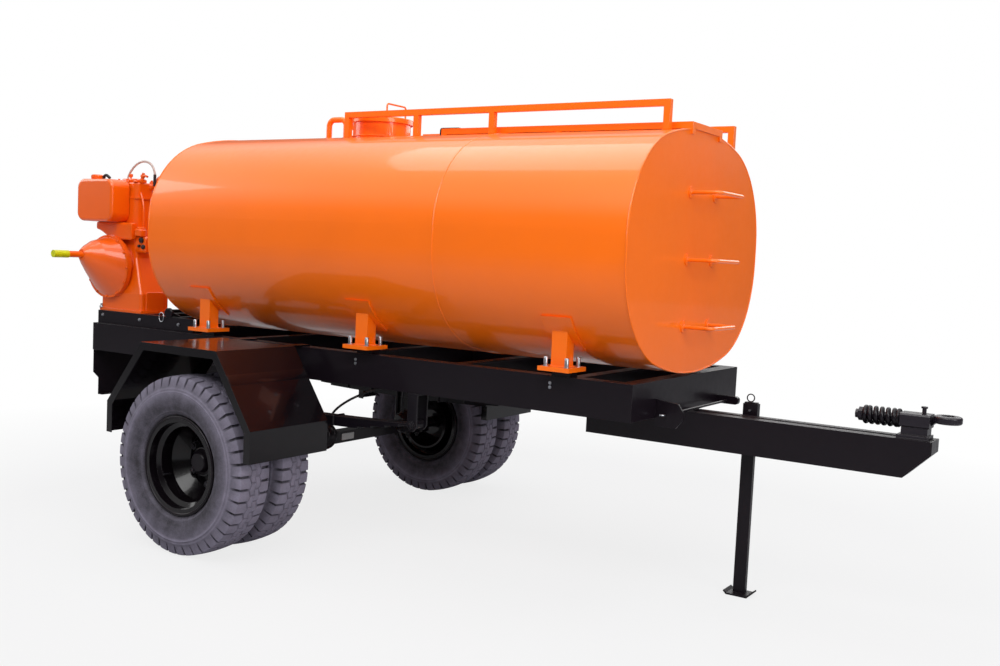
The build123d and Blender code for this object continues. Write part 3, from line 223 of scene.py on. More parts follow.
def rectangle(width, height, radius=6.0, steps=5):
    """Rounded rectangle about the origin: four quarter circles joined by straight lines."""
    t = np.linspace(0, pi / 2, steps)
    quarter = radius * np.stack([np.cos(t), np.sin(t)], -1)
    corner = np.array([width / 2 - radius, height / 2 - radius])
    turns = [np.array([[1, 0], [0, 1]]), np.array([[0, -1], [1, 0]]), np.array([[-1, 0], [0, -1]]), np.array([[0, 1], [-1, 0]])]
    corners = [corner * sign for sign in ((1, 1), (-1, 1), (-1, -1), (1, -1))]
    return np.concatenate([quarter @ turn.T + at for turn, at in zip(turns, corners)])


def fastener(flat, height, washer_r=0.0, washer_t=0.0, stud_r=0.0, stud_out=0.0, sides=24):
    """Washer, six-sided nut and stud end, turned about Z.

    The nut's radius is flat / cos(angle from the nearest flat), cut to a circle at its top.
    """
    t = 2 * pi * np.arange(sides) / sides
    six = flat / np.cos((t + pi / 6) % (pi / 3) - pi / 6)
    full = np.ones(sides)
    loops = [(0.0, washer_r * full), (washer_t, washer_r * full)] if washer_r else []
    top = washer_t + height
    loops += [(washer_t, six), (top - 0.15 * flat, six), (top, np.minimum(six, 0.99 * flat))]
    if stud_r:
        loops += [(top, stud_r * full), (top + stud_out - 1, stud_r * full), (top + stud_out, 0.8 * stud_r * full)]
    sections = [np.stack([r * np.cos(t), r * np.sin(t), np.full(sides, z)], -1) for z, r in loops]
    return skin(sections)


def copies(shape, spots, direction=(0, 0, 1)):
    """The same shape at several spots, its Z turned to a direction."""
    u, v, axis = axes_of(direction)
    points = shape[0] @ np.array([u, v, axis])
    return joined([outward(points + np.asarray(spot, float), shape[1]) for spot in spots])


def oval_line(grow, count=240):
    """Points (y, z) of the tank's oval, by the angle of its normal.

    The point is the arc's centre plus its radius along the normal. Two joins, where the arcs are
    tangent, say which of the top, corner and side arcs an angle belongs to.
    """
    half_y, half_z, top_r, side_r, corner_r = OVAL
    top = np.array([0, half_z - top_r])
    side = np.array([half_y - side_r, 0])
    between = side - top
    length = np.linalg.norm(between)
    along = ((top_r - corner_r) ** 2 - (side_r - corner_r) ** 2 + length ** 2) / (2 * length)
    aside = np.sqrt((top_r - corner_r) ** 2 - along ** 2)
    unit = between / length
    corner = top + unit * along + np.array([unit[1], -unit[0]]) * aside
    if corner[0] < 0:
        corner = top + unit * along - np.array([unit[1], -unit[0]]) * aside
    top_join = np.arctan2(*(corner - top)[::-1])
    side_join = np.arctan2(*(corner - side)[::-1])
    angle = 2 * pi * np.arange(count) / count
    fold = np.arctan2(np.abs(np.sin(angle)), np.abs(np.cos(angle)))[:, None]
    centre = np.where(fold > top_join, top, np.where(fold < side_join, side, corner))
    radius = np.where(fold > top_join, top_r, np.where(fold < side_join, side_r, corner_r)) + grow
    normal = np.stack([np.cos(angle), np.sin(angle)], -1)
    return centre * np.sign(normal) + radius * normal + (0, TANK_Z)


def oval_ring(x, radius, grow=0.0):
    """Bead round the tank's oval at a distance along it."""
    line = oval_line(grow)
    path = np.concatenate([np.full((len(line), 1), x), line], 1)
    return tube(path, radius, (1, 0, 0), 8, ring=True)


def place(points):
    """Millimetres from the wheel axis as metres in the shared frame."""
    return np.asarray(points, float) * 0.001 + (AXLE_X, 0, 0)


def piece(name, parts, finish, body, replaced=(), sharp=38, values=None):
    """Makes the object of one piece, in place, with its finish, and ties it to its body."""
    points, faces = joined(parts)
    mesh = bpy.data.meshes.new(name)
    mesh.from_pydata(place(points).tolist(), [], [face for group in faces for face in group.tolist()])
    mesh.polygons.foreach_set("use_smooth", np.ones(len(mesh.polygons), bool))
    mesh.set_sharp_from_angle(angle=radians(sharp))
    if values is not None:
        mesh.attributes.new("dust", "FLOAT", "POINT").data.foreach_set("value", values.astype(np.float32))
    mesh.materials.append(bpy.data.materials[finish])
    mesh.update()
    if len(mesh.vertices) != len(points):
        raise RuntimeError(name + " wasn't made whole")
    obj = bpy.data.objects.new(name, mesh)
    bpy.context.scene.collection.objects.link(obj)
    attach(obj, body)
    if replaced:
        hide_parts(*replaced)
    return obj


# Finishes


def add_node(tree, kind, settings=None, links=None):
    """Adds a shader node, sets its properties and sockets, and joins its inputs."""
    node = tree.nodes.new("ShaderNode" + kind)
    for key, value in (settings or {}).items():
        if isinstance(key, int) or key in node.inputs:
            node.inputs[key].default_value = value
        else:
            setattr(node, key, value)
    for key, source in (links or {}).items():
        tree.links.new(source, node.inputs[key])
    return node


def new_finish(name):
    """An empty material and its output node."""
    material = bpy.data.materials.new(name)
    material.use_nodes = True
    tree = material.node_tree
    tree.nodes.clear()
    return tree, add_node(tree, "OutputMaterial")


def rgba(colour, scale=1.0):
    """Linear colour with full alpha, made darker or lighter."""
    return tuple(min(1.0, scale * v) for v in colour[:3]) + (1.0,)


def noise(tree, size_mm, detail=3.0, rough=0.55):
    """Noise on object coordinates whose patches are a real size across."""
    place_node = add_node(tree, "TexCoord")
    return add_node(tree, "TexNoise", {"Scale": 1000.0 / size_mm, "Detail": detail, "Roughness": rough},
                    {"Vector": place_node.outputs["Object"]}).outputs["Fac"]


def between(tree, value, low, high):
    """Range of a value stretched to 0 to 1."""
    return add_node(tree, "MapRange", {"From Min": low, "From Max": high}, {"Value": value}).outputs[0]


def blend_colour(tree, factor, first, second, first_link=None, second_link=None):
    """Mix of two colours."""
    links = {0: factor}
    settings = {"data_type": "RGBA"}
    node = add_node(tree, "Mix", settings)
    node.inputs[6].default_value = first
    node.inputs[7].default_value = second
    tree.links.new(factor, node.inputs[0])
    if first_link:
        tree.links.new(first_link, node.inputs[6])
    if second_link:
        tree.links.new(second_link, node.inputs[7])
    return node.outputs[2]


def scaled(tree, value, scale, shift=0.0):
    """Value times a number plus another."""
    return add_node(tree, "Math", {"operation": "MULTIPLY_ADD", 1: scale, 2: shift}, {0: value}).outputs[0]


def edge_share(tree, radius_mm):
    """How far a bevelled normal turns from the face's own: near 0 on flats and more along edges."""
    soft = add_node(tree, "Bevel", {"samples": 4, "Radius": radius_mm / 1000})
    plain = add_node(tree, "NewGeometry")
    product = add_node(tree, "VectorMath", {"operation": "DOT_PRODUCT"},
                       {0: soft.outputs[0], 1: plain.outputs["Normal"]})
    return between(tree, product.outputs["Value"], 0.985, 0.80), soft.outputs[0]


def dust_share(tree):
    """Share of dust that settles on faces that look up, broken by patches."""
    plain = add_node(tree, "NewGeometry")
    height = add_node(tree, "SeparateXYZ", links={0: plain.outputs["Normal"]}).outputs[2]
    lying = between(tree, height, 0.35, 1.0)
    return add_node(tree, "Math", {"operation": "MULTIPLY"}, {0: lying, 1: noise(tree, 60, 5, 0.65)}).outputs[0]


def paint(name, colour, shade, roughness, coat, grain_mm, grain, wear, dust, edge_mm=2.0, shine=0.3):
    """Sprayed paint: colour that drifts a little, film texture, worn edges and settled dust.

    grain_mm is the texture's real size; grain its depth in millimetres; wear and dust are shares.
    """
    tree, output = new_finish(name)
    drift = between(tree, noise(tree, 420, 2), 0.3, 0.7)
    base = blend_colour(tree, drift, rgba(colour, 1 - shade), rgba(colour, 1 + shade))
    edge, soft_normal = edge_share(tree, edge_mm)
    scuffs = between(tree, noise(tree, 9, 4, 0.7), 0.42, 0.68)
    worn = add_node(tree, "Math", {"operation": "MULTIPLY"}, {0: edge, 1: scuffs}).outputs[0]
    base = blend_colour(tree, scaled(tree, worn, wear), rgba(colour), (0.32, 0.30, 0.30, 1), first_link=base)
    lying = dust_share(tree)
    base = blend_colour(tree, scaled(tree, lying, dust), rgba(colour), (0.42, 0.38, 0.36, 1), first_link=base)
    rough = scaled(tree, noise(tree, 35, 3), 0.16, roughness - 0.08)
    rough = add_node(tree, "Math", {"operation": "ADD", "use_clamp": True},
                     {0: rough, 1: scaled(tree, lying, dust)}).outputs[0]
    film = add_node(tree, "Bump", {"Strength": 0.6, "Distance": grain / 1000},
                    {"Height": noise(tree, grain_mm, 2), "Normal": soft_normal})
    shader = add_node(tree, "BsdfPrincipled", {"Coat Weight": coat, "Coat Roughness": 0.06, "IOR": 1.5,
                                              "Specular IOR Level": shine}, {
        "Base Color": base, "Roughness": rough, "Normal": film.outputs[0]})
    tree.links.new(shader.outputs[0], output.inputs[0])


def metal(name, code, roughness, patch_mm, dark_code, streak=1.0):
    """Bare or plated metal with patches of darker film. Streak stretches the patches along X."""
    tree, output = new_finish(name)
    place_node = add_node(tree, "TexCoord")
    lie = add_node(tree, "Mapping", {"Scale": (1 / streak, 1, 1)}, {"Vector": place_node.outputs["Object"]})
    grain = add_node(tree, "TexNoise", {"Scale": 1000 / patch_mm, "Detail": 5.0, "Roughness": 0.65},
                     {"Vector": lie.outputs[0]}).outputs["Fac"]
    patch = between(tree, grain, 0.35, 0.7)
    base = blend_colour(tree, patch, rgba(linear(code)), rgba(linear(dark_code)))
    rough = scaled(tree, patch, 0.25, roughness)
    bump = add_node(tree, "Bump", {"Strength": 0.4, "Distance": 0.0004}, {"Height": grain})
    shader = add_node(tree, "BsdfPrincipled", {"Metallic": 1.0}, {
        "Base Color": base, "Roughness": rough, "Normal": bump.outputs[0]})
    tree.links.new(shader.outputs[0], output.inputs[0])


def rubber(name, light, dark):
    """Moulded tyre rubber: dull, with pale road dust where the piece's dust value is high; where that value is low in
    the grooves and slots, the dark rubber is painted shade.
    """
    tree, output = new_finish(name)
    share = add_node(tree, "Attribute", {"attribute_name": "dust"}).outputs["Fac"]
    cloud = scaled(tree, noise(tree, 70, 6, 0.7), 0.9, -0.45)
    speck = scaled(tree, noise(tree, 6, 3, 0.6), 0.3, -0.15)
    mottled = add_node(tree, "Math", {"operation": "ADD"}, {0: cloud, 1: speck}).outputs[0]
    amount = add_node(tree, "Math", {"operation": "ADD", "use_clamp": True}, {0: share, 1: mottled}).outputs[0]
    base = blend_colour(tree, amount, rgba(dark), rgba(light))
    rough = scaled(tree, amount, 0.18, 0.68)
    bump = add_node(tree, "Bump", {"Strength": 0.5, "Distance": 0.0006}, {"Height": noise(tree, 4, 4, 0.6)})
    shader = add_node(tree, "BsdfPrincipled", {"IOR": 1.52, "Specular IOR Level": 0.35}, {
        "Base Color": base, "Roughness": rough, "Normal": bump.outputs[0]})
    tree.links.new(shader.outputs[0], output.inputs[0])


def plastic(name, colour, roughness, transmission=0.0, ior=1.49, grain_mm=3.0):
    """Moulded plastic with a faint texture and clouding."""
    tree, output = new_finish(name)
    cloud = between(tree, noise(tree, 24, 3), 0.3, 0.7)
    base = blend_colour(tree, cloud, rgba(colour, 0.86), rgba(colour, 1.08))
    rough = scaled(tree, noise(tree, 12, 3), 0.15, roughness - 0.07)
    bump = add_node(tree, "Bump", {"Strength": 0.3, "Distance": 0.0003}, {"Height": noise(tree, grain_mm, 2)})
    shader = add_node(tree, "BsdfPrincipled", {"Transmission Weight": transmission, "IOR": ior}, {
        "Base Color": base, "Roughness": rough, "Normal": bump.outputs[0]})
    tree.links.new(shader.outputs[0], output.inputs[0])


FINISH_OF_SLOT = {
    "orange_paint": "tank_gloss_enamel", "black_paint": "chassis_satin_black", "guard_paint": "guard_gloss_black",
    "tyre_rubber": "dusty_tyre_rubber", "spring_steel": "painted_spring_steel",
    "coupling_steel": "forged_coupling_steel", "engine_orange": "engine_enamel_on_castings",
    "sleeve_plastic": "soft_pvc_sleeve", "clear_hose": "clear_pvc_hose", "lamp_plastic": "red_acrylic_lens",
}


class TRAILER_OT_finishes(bpy.types.Operator):
    """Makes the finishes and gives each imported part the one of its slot."""

    bl_idname = "trailer.finishes"
    bl_label = "Finishes"

    def execute(self, context):
        colours = context.scene.trailer_colours
        # Two-pack enamel, sprayed over smooth sheet: a deep gloss with a faint orange-peel film
        paint("tank_gloss_enamel", colours.tank, 0.03, 0.36, 0.60, 14, 0.05, 0.05, 0.04)
        # The same enamel over sand castings and pressed sheet: softer gloss, coarser grain
        paint("engine_enamel_on_castings", colours.engine, 0.06, 0.34, 0.70, 9, 0.15, 0.08, 0.04, 3.0)
        # Brushed chassis alkyd: satin, scuffed to grey along its edges, dusty on top
        paint("chassis_satin_black", colours.chassis, 0.10, 0.32, 0.12, 9, 0.12, 0.16, 0.02, 2.0, 0.18)
        # Sprayed gloss black on folded sheet, which mirrors the tank
        paint("guard_gloss_black", colours.guard, 0.06, 0.20, 0.30, 18, 0.08, 0.16, 0.01, 2.0, 0.20)
        # Painted spring leaves and coil: satin, with rubbed high spots
        paint("painted_spring_steel", linear("#100C12"), 0.12, 0.36, 0.12, 5, 0.15, 0.35, 0.03, 2.0, 0.2)
        # Forged coupling steel under thin worn paint: dark with grey rubbed edges
        paint("forged_coupling_steel", linear("#1C171F"), 0.18, 0.34, 0.20, 4, 0.25, 0.50, 0.04, 3.0)
        # Tyre rubber, bias-ply mould finish, grey-blue with dry dust and with painted shade in its grooves
        rubber("dusty_tyre_rubber", colours.rubber_light, colours.rubber_dark)
        # Soft dipped PVC, a little translucent and matt
        plastic("soft_pvc_sleeve", colours.sleeve, 0.38)
        # Clear PVC hose, slightly pink with fuel
        plastic("clear_pvc_hose", linear("#DCC3BA"), 0.18, 0.45, 1.53)
        # Red acrylic lens, its ribs moulded inside
        plastic("red_acrylic_lens", linear("#B8160A"), 0.15, 0.25, 1.49)
        # Amber acrylic beside it
        plastic("amber_acrylic_lens", linear("#E07A05"), 0.15, 0.25, 1.49)
        # Black moulded rubber and plastic: dull, even
        plastic("black_moulded_rubber", linear("#17151A"), 0.55)
        # Bright zinc plate, mottled by handling
        metal("bright_zinc_plate", "#C9CCD2", 0.26, 6, "#8E9096")
        # Rolled aluminium plate left bare, with fine lengthwise streaks
        metal("bare_aluminium_plate", "#C6C5C3", 0.34, 3, "#A5A4A3", 12.0)
        # Grey cast iron with a skin of oil and dust
        metal("oily_cast_iron", "#6E6B70", 0.48, 12, "#3C3A3F")
        for part in frame["record"]["subparts"]:
            node = frame["nodes"][part["node"]]
            finish = bpy.data.materials[FINISH_OF_SLOT[part["material_slot"]]]
            node.data.materials.clear()
            node.data.materials.append(finish)
        return {"FINISHED"}


# Wheels


def tread_phase(pitches):
    """Angles round a tyre, closer at the walls of its shoulder slots, and their share of a pitch."""
    share = np.array([0, 0.02, 0.11, 0.20, 0.22, 0.36, 0.5, 0.52, 0.61, 0.70, 0.72, 0.86])
    phase = (np.arange(pitches)[:, None] + share).ravel()
    return 2 * pi * phase / pitches, np.tile(share, pitches)


def gate(value, low, high, edge):
    """1 inside a range and 0 outside it, with straight ramps."""
    return np.clip((value - low) / edge, 0, 1) * np.clip((high - value) / edge, 0, 1)


def tyre_outline():
    """Tyre section as (y, radius), from one bead over the tread to the other, then back under it.

    The sidewalls are cut-corner curves with raised rings; the crown is a shallow parabola.
    """
    wall = rounded([(79.5, 233), (93, 256), (103, 292), (103, 330), (96, 358), (89, 384), (82, 399.5)], 3)
    ridge = 3.2 * np.exp(-((wall[:, 1] - 334) / 4) ** 2) + 2.4 * np.exp(-((wall[:, 1] - 347) / 4) ** 2)
    ridge += 2.4 * np.exp(-((wall[:, 1] - 246) / 4) ** 2)
    wall[:, 0] = np.minimum(wall[:, 0] + ridge, 107)
    y = np.linspace(79.5, -79.5, 61)
    crown = np.stack([y, TYRE_R - 5 * (y / 82) ** 2], -1)
    other = wall[::-1] * (-1, 1)
    under = np.array([(-71.7, 226.3), (-71.7, 203.3), (0, 203.3), (71.7, 203.3), (71.7, 226.3)])
    return np.concatenate([wall, crown, other, under]), len(wall), len(crown)


def tyre_shape(y_mid, side, depth, pitches):
    """Grid of angle by section, its radius cut by slots and zigzag grooves.

    Shoulder slots are a gate in the angle's share of a pitch. Grooves are gates in y about
    y0 + 5 tri(share), where tri is a triangle wave.
    """
    outline, wall_count, crown_count = tyre_outline()
    angle, share = tread_phase(pitches)
    y = outline[:, 0][None, :]
    r = outline[:, 1][None, :]
    s = share[:, None]
    on_tread = r > 352
    reach = np.clip((r - 352) / 34, 0, 1) * on_tread
    start = np.where(y > 0, 0.0, 0.5)
    skew = (s - start) % 1.0
    slot = gate(skew, -0.001, 0.22, 0.02) * gate(np.abs(y), 34, 200, 4) * reach
    wave = 4 * np.abs((s % 1.0) - 0.5) - 1
    crown = (r > 398) & (np.abs(y) < 81)
    cut = slot
    for y0, width, share_deep in ((-27, 5, 0.7), (27, 5, 0.7), (0, 4, 0.4)):
        line = y0 + 6 * wave
        cut = np.maximum(cut, gate(y, line - width / 2, line + width / 2, 1.5) * crown * share_deep)
    sipe = gate((skew + 0.5) % 1.0, 0.0, 0.20, 0.02) * gate(np.abs(y), -1, 24, 3) * crown * 0.35
    cut = np.maximum(cut, sipe)
    drop = depth * cut
    lean = np.where(crown, 0.0, 0.8)
    radius = r - drop * (1 - 0.5 * (lean > 0))
    across = y - np.sign(y) * drop * lean
    across, radius = np.broadcast_arrays(across, radius)
    x = radius * np.cos(angle)[:, None]
    z = radius * np.sin(angle)[:, None] + TYRE_R
    points = np.stack([x, y_mid + side * across, z], -1)
    # The dust value follows the radius: lowest next to the rim, higher on the raised rings than between them, and
    # highest on the tread. The slots and grooves take 0.65 of their depth off it, which is painted shade in those
    # recesses.
    zone = np.interp(r, [226, 240, 262, 298, 322, 334, 340, 347, 354, 380, 405],
                     [0.05, 0.22, 0.10, 0.30, 0.52, 0.85, 0.50, 0.80, 0.50, 0.66, 0.84])
    dust = np.broadcast_to(zone, cut.shape) - 0.65 * cut
    return skin(points, ring=True), dust.ravel()


class TRAILER_OT_tyres(bpy.types.Operator):
    """Makes the four treaded tyres."""

    bl_idname = "trailer.tyres"
    bl_label = "Tyres"

    def execute(self, context):
        sizes = context.scene.trailer_sizes
        for name, y_mid in TYRE_Y.items():
            side = 1 if y_mid > 0 else -1
            # Each tyre's dust values carry dust and painted shade in its grooves and slots
            shape, dust = tyre_shape(y_mid, side, 1000 * sizes.tread_depth, sizes.tread_pitches)
            body = "wheel_left" if side > 0 else "wheel_right"
            piece("treaded_" + name, [shape], "dusty_tyre_rubber", body, (name,), 32, dust)
        return {"FINISHED"}


def wheel_spots(radius, count, y, start=90.0):
    """Spots on a circle about the wheel axis."""
    angle = radians(start) + 2 * pi * np.arange(count) / count
    return np.stack([radius * np.cos(angle), np.full(count, y), TYRE_R + radius * np.sin(angle)], -1)


class TRAILER_OT_wheel_fittings(bpy.types.Operator):
    """Makes the wheel nuts, lock rings, grease cap rings and valves."""

    bl_idname = "trailer.wheel_fittings"
    bl_label = "Wheel fittings"

    def execute(self, context):
        for side, name in ((-1, "right"), (1, "left")):
            body = "wheel_" + name
            mid = side * 914.5
            nut = fastener(17, 20, 22, 3, 10, 10)
            piece("wheel_nuts_" + name, [copies(nut, wheel_spots(111, 6, mid + side * 11), (0, side, 0))],
                  "oily_cast_iron", body)
            rings = []
            for y_mid, out in ((side * 1038, side), (side * 791, -side)):
                circle = wheel_spots(218.5, 96, y_mid + out * 78)
                rings.append(tube(circle, 6.5, (0, 1, 0), 10, ring=True))
            circle = wheel_spots(199, 96, side * 1106)
            rings.append(tube(circle, 3.2, (0, 1, 0), 8, ring=True))
            piece("lock_rings_" + name, rings, "chassis_satin_black", body)
            centre = (0, 0, TYRE_R)
            cap = turned([(968 , 62), (972, 64), (978, 64), (981, 60), (983, 52), (1003, 46), (1008, 40), (1009, 6)],
                         centre, (0, side, 0), 48)
            piece("hub_cap_" + name, [cap], "chassis_satin_black", body)
            stem = []
            for n, (y0, y1) in enumerate(((1020, 1080), (809, 770))):
                angle = radians(205 + 180 * n)
                c, s = cos(angle), sin(angle)
                path = [(176 * c, side * y0, TYRE_R + 176 * s), (158 * c, side * (y0 + y1) / 2, TYRE_R + 158 * s),
                        (156 * c, side * y1, TYRE_R + 156 * s)]
                stem.append(pipe(path, 4.2, (0.3, 0, 1)))
            piece("valve_stems_" + name, stem, "black_moulded_rubber", body)
        return {"FINISHED"}


# Coupling and stand


class TRAILER_OT_draw_spring(bpy.types.Operator):
    """Makes the coiled draw spring behind the housing."""

    bl_idname = "trailer.draw_spring"
    bl_label = "Draw spring"

    def execute(self, context):
        sizes = context.scene.trailer_sizes
        wire = 1000 * sizes.coil_wire
        low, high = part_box("draw_spring")
        x0 = 1000 * (low.x - AXLE_X)
        x1 = 1000 * (high.x - AXLE_X)
        z = 500 * (low.z + high.z)
        radius = 500 * (high.z - low.z) - wire
        # Helix: a circle in Y and Z whose X grows with the angle, slower over each flat end turn
        t = np.linspace(0, 1, 420)
        turn = 2 * pi * (sizes.coil_turns - 0.3) * t
        x = x0 + wire + (x1 - x0 - 2 * wire) * np.interp(t, [0, 0.11, 0.89, 1], [0, 0.03, 0.97, 1])
        out = np.stack([np.zeros_like(t), np.cos(turn), np.sin(turn)], -1)
        path = np.stack([x, np.zeros_like(t), np.full_like(t, z)], -1) + radius * out
        piece("coil_draw_spring", [tube(path, wire, out, 14)], "painted_spring_steel", "chassis",
              ("draw_spring",))
        return {"FINISHED"}


def strip(path, width, thickness, across):
    """Flat band carried along a path, its width along a fixed direction."""
    path = np.asarray(path, float)
    tangent = np.gradient(path, axis=0)
    tangent /= np.linalg.norm(tangent, axis=1, keepdims=True)
    across = np.broadcast_to(np.asarray(across, float), path.shape)
    up = np.cross(tangent, across)
    corner = np.array([(-1, 0), (-0.9, 1), (0.9, 1), (1, 0), (0.9, -0.2), (-0.9, -0.2)])
    sections = (path[:, None] + corner[None, :, :1] * across[:, None] * width / 2
                + corner[None, :, 1:] * up[:, None] * thickness)
    return skin(sections)


class TRAILER_OT_coupling_fittings(bpy.types.Operator):
    """Makes the welds and pins of the drawbar, coupling and stand."""

    bl_idname = "trailer.coupling_fittings"
    bl_label = "Coupling fittings"

    def execute(self, context):
        seams = []
        for side in (-1, 1):
            seams.append(pipe([(2818, side * 51, 783), (2880, side * 52, 783), (2932, side * 51, 783)], 3.2))
            seams.append(pipe([(2834, side * 37.5, 797), (2880, side * 38, 797), (2924, side * 37.5, 797)], 3.0))
        seams.append(pipe([(1480, 0, 783.0), (2300, 0, 783.4), (2945, 0, 783.0)], 2.6))
        seams.append(pipe([(1486, 0, 631.5), (2300, 0, 631.5), (2840, 0, 631.5)], 2.6))
        for z in (680, 730, 776):
            seams.append(pipe([(2162, 66, z), (2162, 69.5, z + 0.1), (2161, 71, z + 0.2)], 2.4))
        piece("drawbar_welds", seams, "chassis_satin_black", "chassis")
        pins = [pipe([(1968, -362, 797), (1985, -362, 797), (1985, -345, 797)], 3.4)]
        pins.append(pipe([(2192, 58, 802), (2192, 108, 802), (2192, 116, 794), (2192, 116, 776)], 5.0, (1, 0, 0)))
        pins.append(tube(wheel_like_ring((2192, 116, 766), 9, (0, 1, 0)), 1.8, (0, 1, 0), 8, ring=True))
        piece("drawbar_pins", pins, "bright_zinc_plate", "chassis")
        return {"FINISHED"}


def wheel_like_ring(centre, radius, direction, count=24):
    """Closed circle of points about an axis."""
    u, v, _ = axes_of(direction)
    t = 2 * pi * np.arange(count) / count
    return np.asarray(centre, float) + radius * (np.cos(t)[:, None] * u + np.sin(t)[:, None] * v)


# Tank


class TRAILER_OT_tank_welds(bpy.types.Operator):
    """Makes the weld beads of the tank, its supports and its fittings."""

    bl_idname = "trailer.tank_welds"
    bl_label = "Tank welds"

    def execute(self, context):
        bead = 1000 * context.scene.trailer_sizes.bead_radius
        rear, seam, front = TANK_X
        rings = [oval_ring(rear + 1.5, bead, -1.5), oval_ring(seam, bead * 0.8, -1.2), oval_ring(front - 1.5, bead, -1.5)]
        rings.append(tube(wheel_like_ring((173, 0, 1978), 149, (0, 0, 1), 64), 4, (0, 0, 1), 8, ring=True))
        for x in (-187, -69):
            rings.append(tube(wheel_like_ring((x, 0, 1975.5), 16.5, (0, 0, 1), 32), 3, (0, 0, 1), 8, ring=True))
        for n in range(3):
            for y in (-126.5, 142.5):
                spot = (1951.5, y, 1708 - 281.5 * n)
                rings.append(tube(wheel_like_ring(spot, 9.5, (1, 0, 0), 24), 2.6, (1, 0, 0), 8, ring=True))
        piece("tank_weld_beads", rings, "tank_gloss_enamel", "chassis")
        seams = []
        for x in SUPPORT_X:
            for side in (-1, 1):
                line = rectangle(76, 66, 6)
                path = np.concatenate([line + (x, side * SUPPORT_Y), np.full((len(line), 1), PLATE_TOP_Z + 1)], 1)
                seams.append(tube(path, 3.4, (0, 0, 1), 8, ring=True))
        piece("support_weld_beads", seams, "tank_gloss_enamel", "chassis")
        return {"FINISHED"}


class TRAILER_OT_support_hardware(bpy.types.Operator):
    """Makes the washers and ends of the support studs, and the bolts in the side rails."""

    bl_idname = "trailer.support_hardware"
    bl_label = "Support hardware"

    def execute(self, context):
        flat = 1000 * context.scene.trailer_sizes.nut_flat
        spots = [(x + dx * STUD_OFFSET[0], side * SUPPORT_Y + dy * STUD_OFFSET[1], PLATE_TOP_Z)
                 for x in SUPPORT_X for side in (-1, 1) for dx in (-1, 1) for dy in (-1, 1)]
        stud = turned([(0, 12), (2.5, 12), (2.5, 8.8), (36, 8.8), (38, 7.6)], (0, 0, 0), (0, 0, 1), 20)
        nuts = [copies(stud, spots)]
        for side in (-1, 1):
            webs = [(x - 46, side * 567, z) for x in SUPPORT_X for z in (902, 884)]
            nuts.append(copies(fastener(0.45 * flat, 3, 7, 1), webs, (0, side, 0)))
        piece("support_nuts", nuts, "bright_zinc_plate", "chassis")
        return {"FINISHED"}


class TRAILER_OT_top_fittings(bpy.types.Operator):
    """Makes the walkway's black strips and the breather's collars."""

    bl_idname = "trailer.top_fittings"
    bl_label = "Top fittings"

    def execute(self, context):
        strips = []
        for side in (-1, 1):
            line = [(664, side * 150, 1960), (664, side * 150, 1988), (668, side * 150, 1998), (690, side * 150, 1998),
                    (770, side * 150, 1997.5)]
            strips.append(strip(rounded(line), 26, 2.2, (0, 1, 0)))
        line = [(680, -150, 1997.4), (680, 0, 1997.4), (680, 150, 1997.4)]
        strips.append(strip(line, 26, 2.0, (1, 0, 0)))
        piece("walkway_strips", strips, "black_moulded_rubber", "chassis")
        collars = [turned([(0, 15.4), (0, 19), (8, 19), (8, 15.4)], (x, 0, 1979), (0, 0, 1)) for x in (-187, -69)]
        piece("breather_collars", collars, "tank_gloss_enamel", "chassis")
        return {"FINISHED"}


# Running gear


def leaf_top(x):
    """Height of the main leaf's top."""
    return 620 + 25 * (np.asarray(x, float) / 880) ** 2


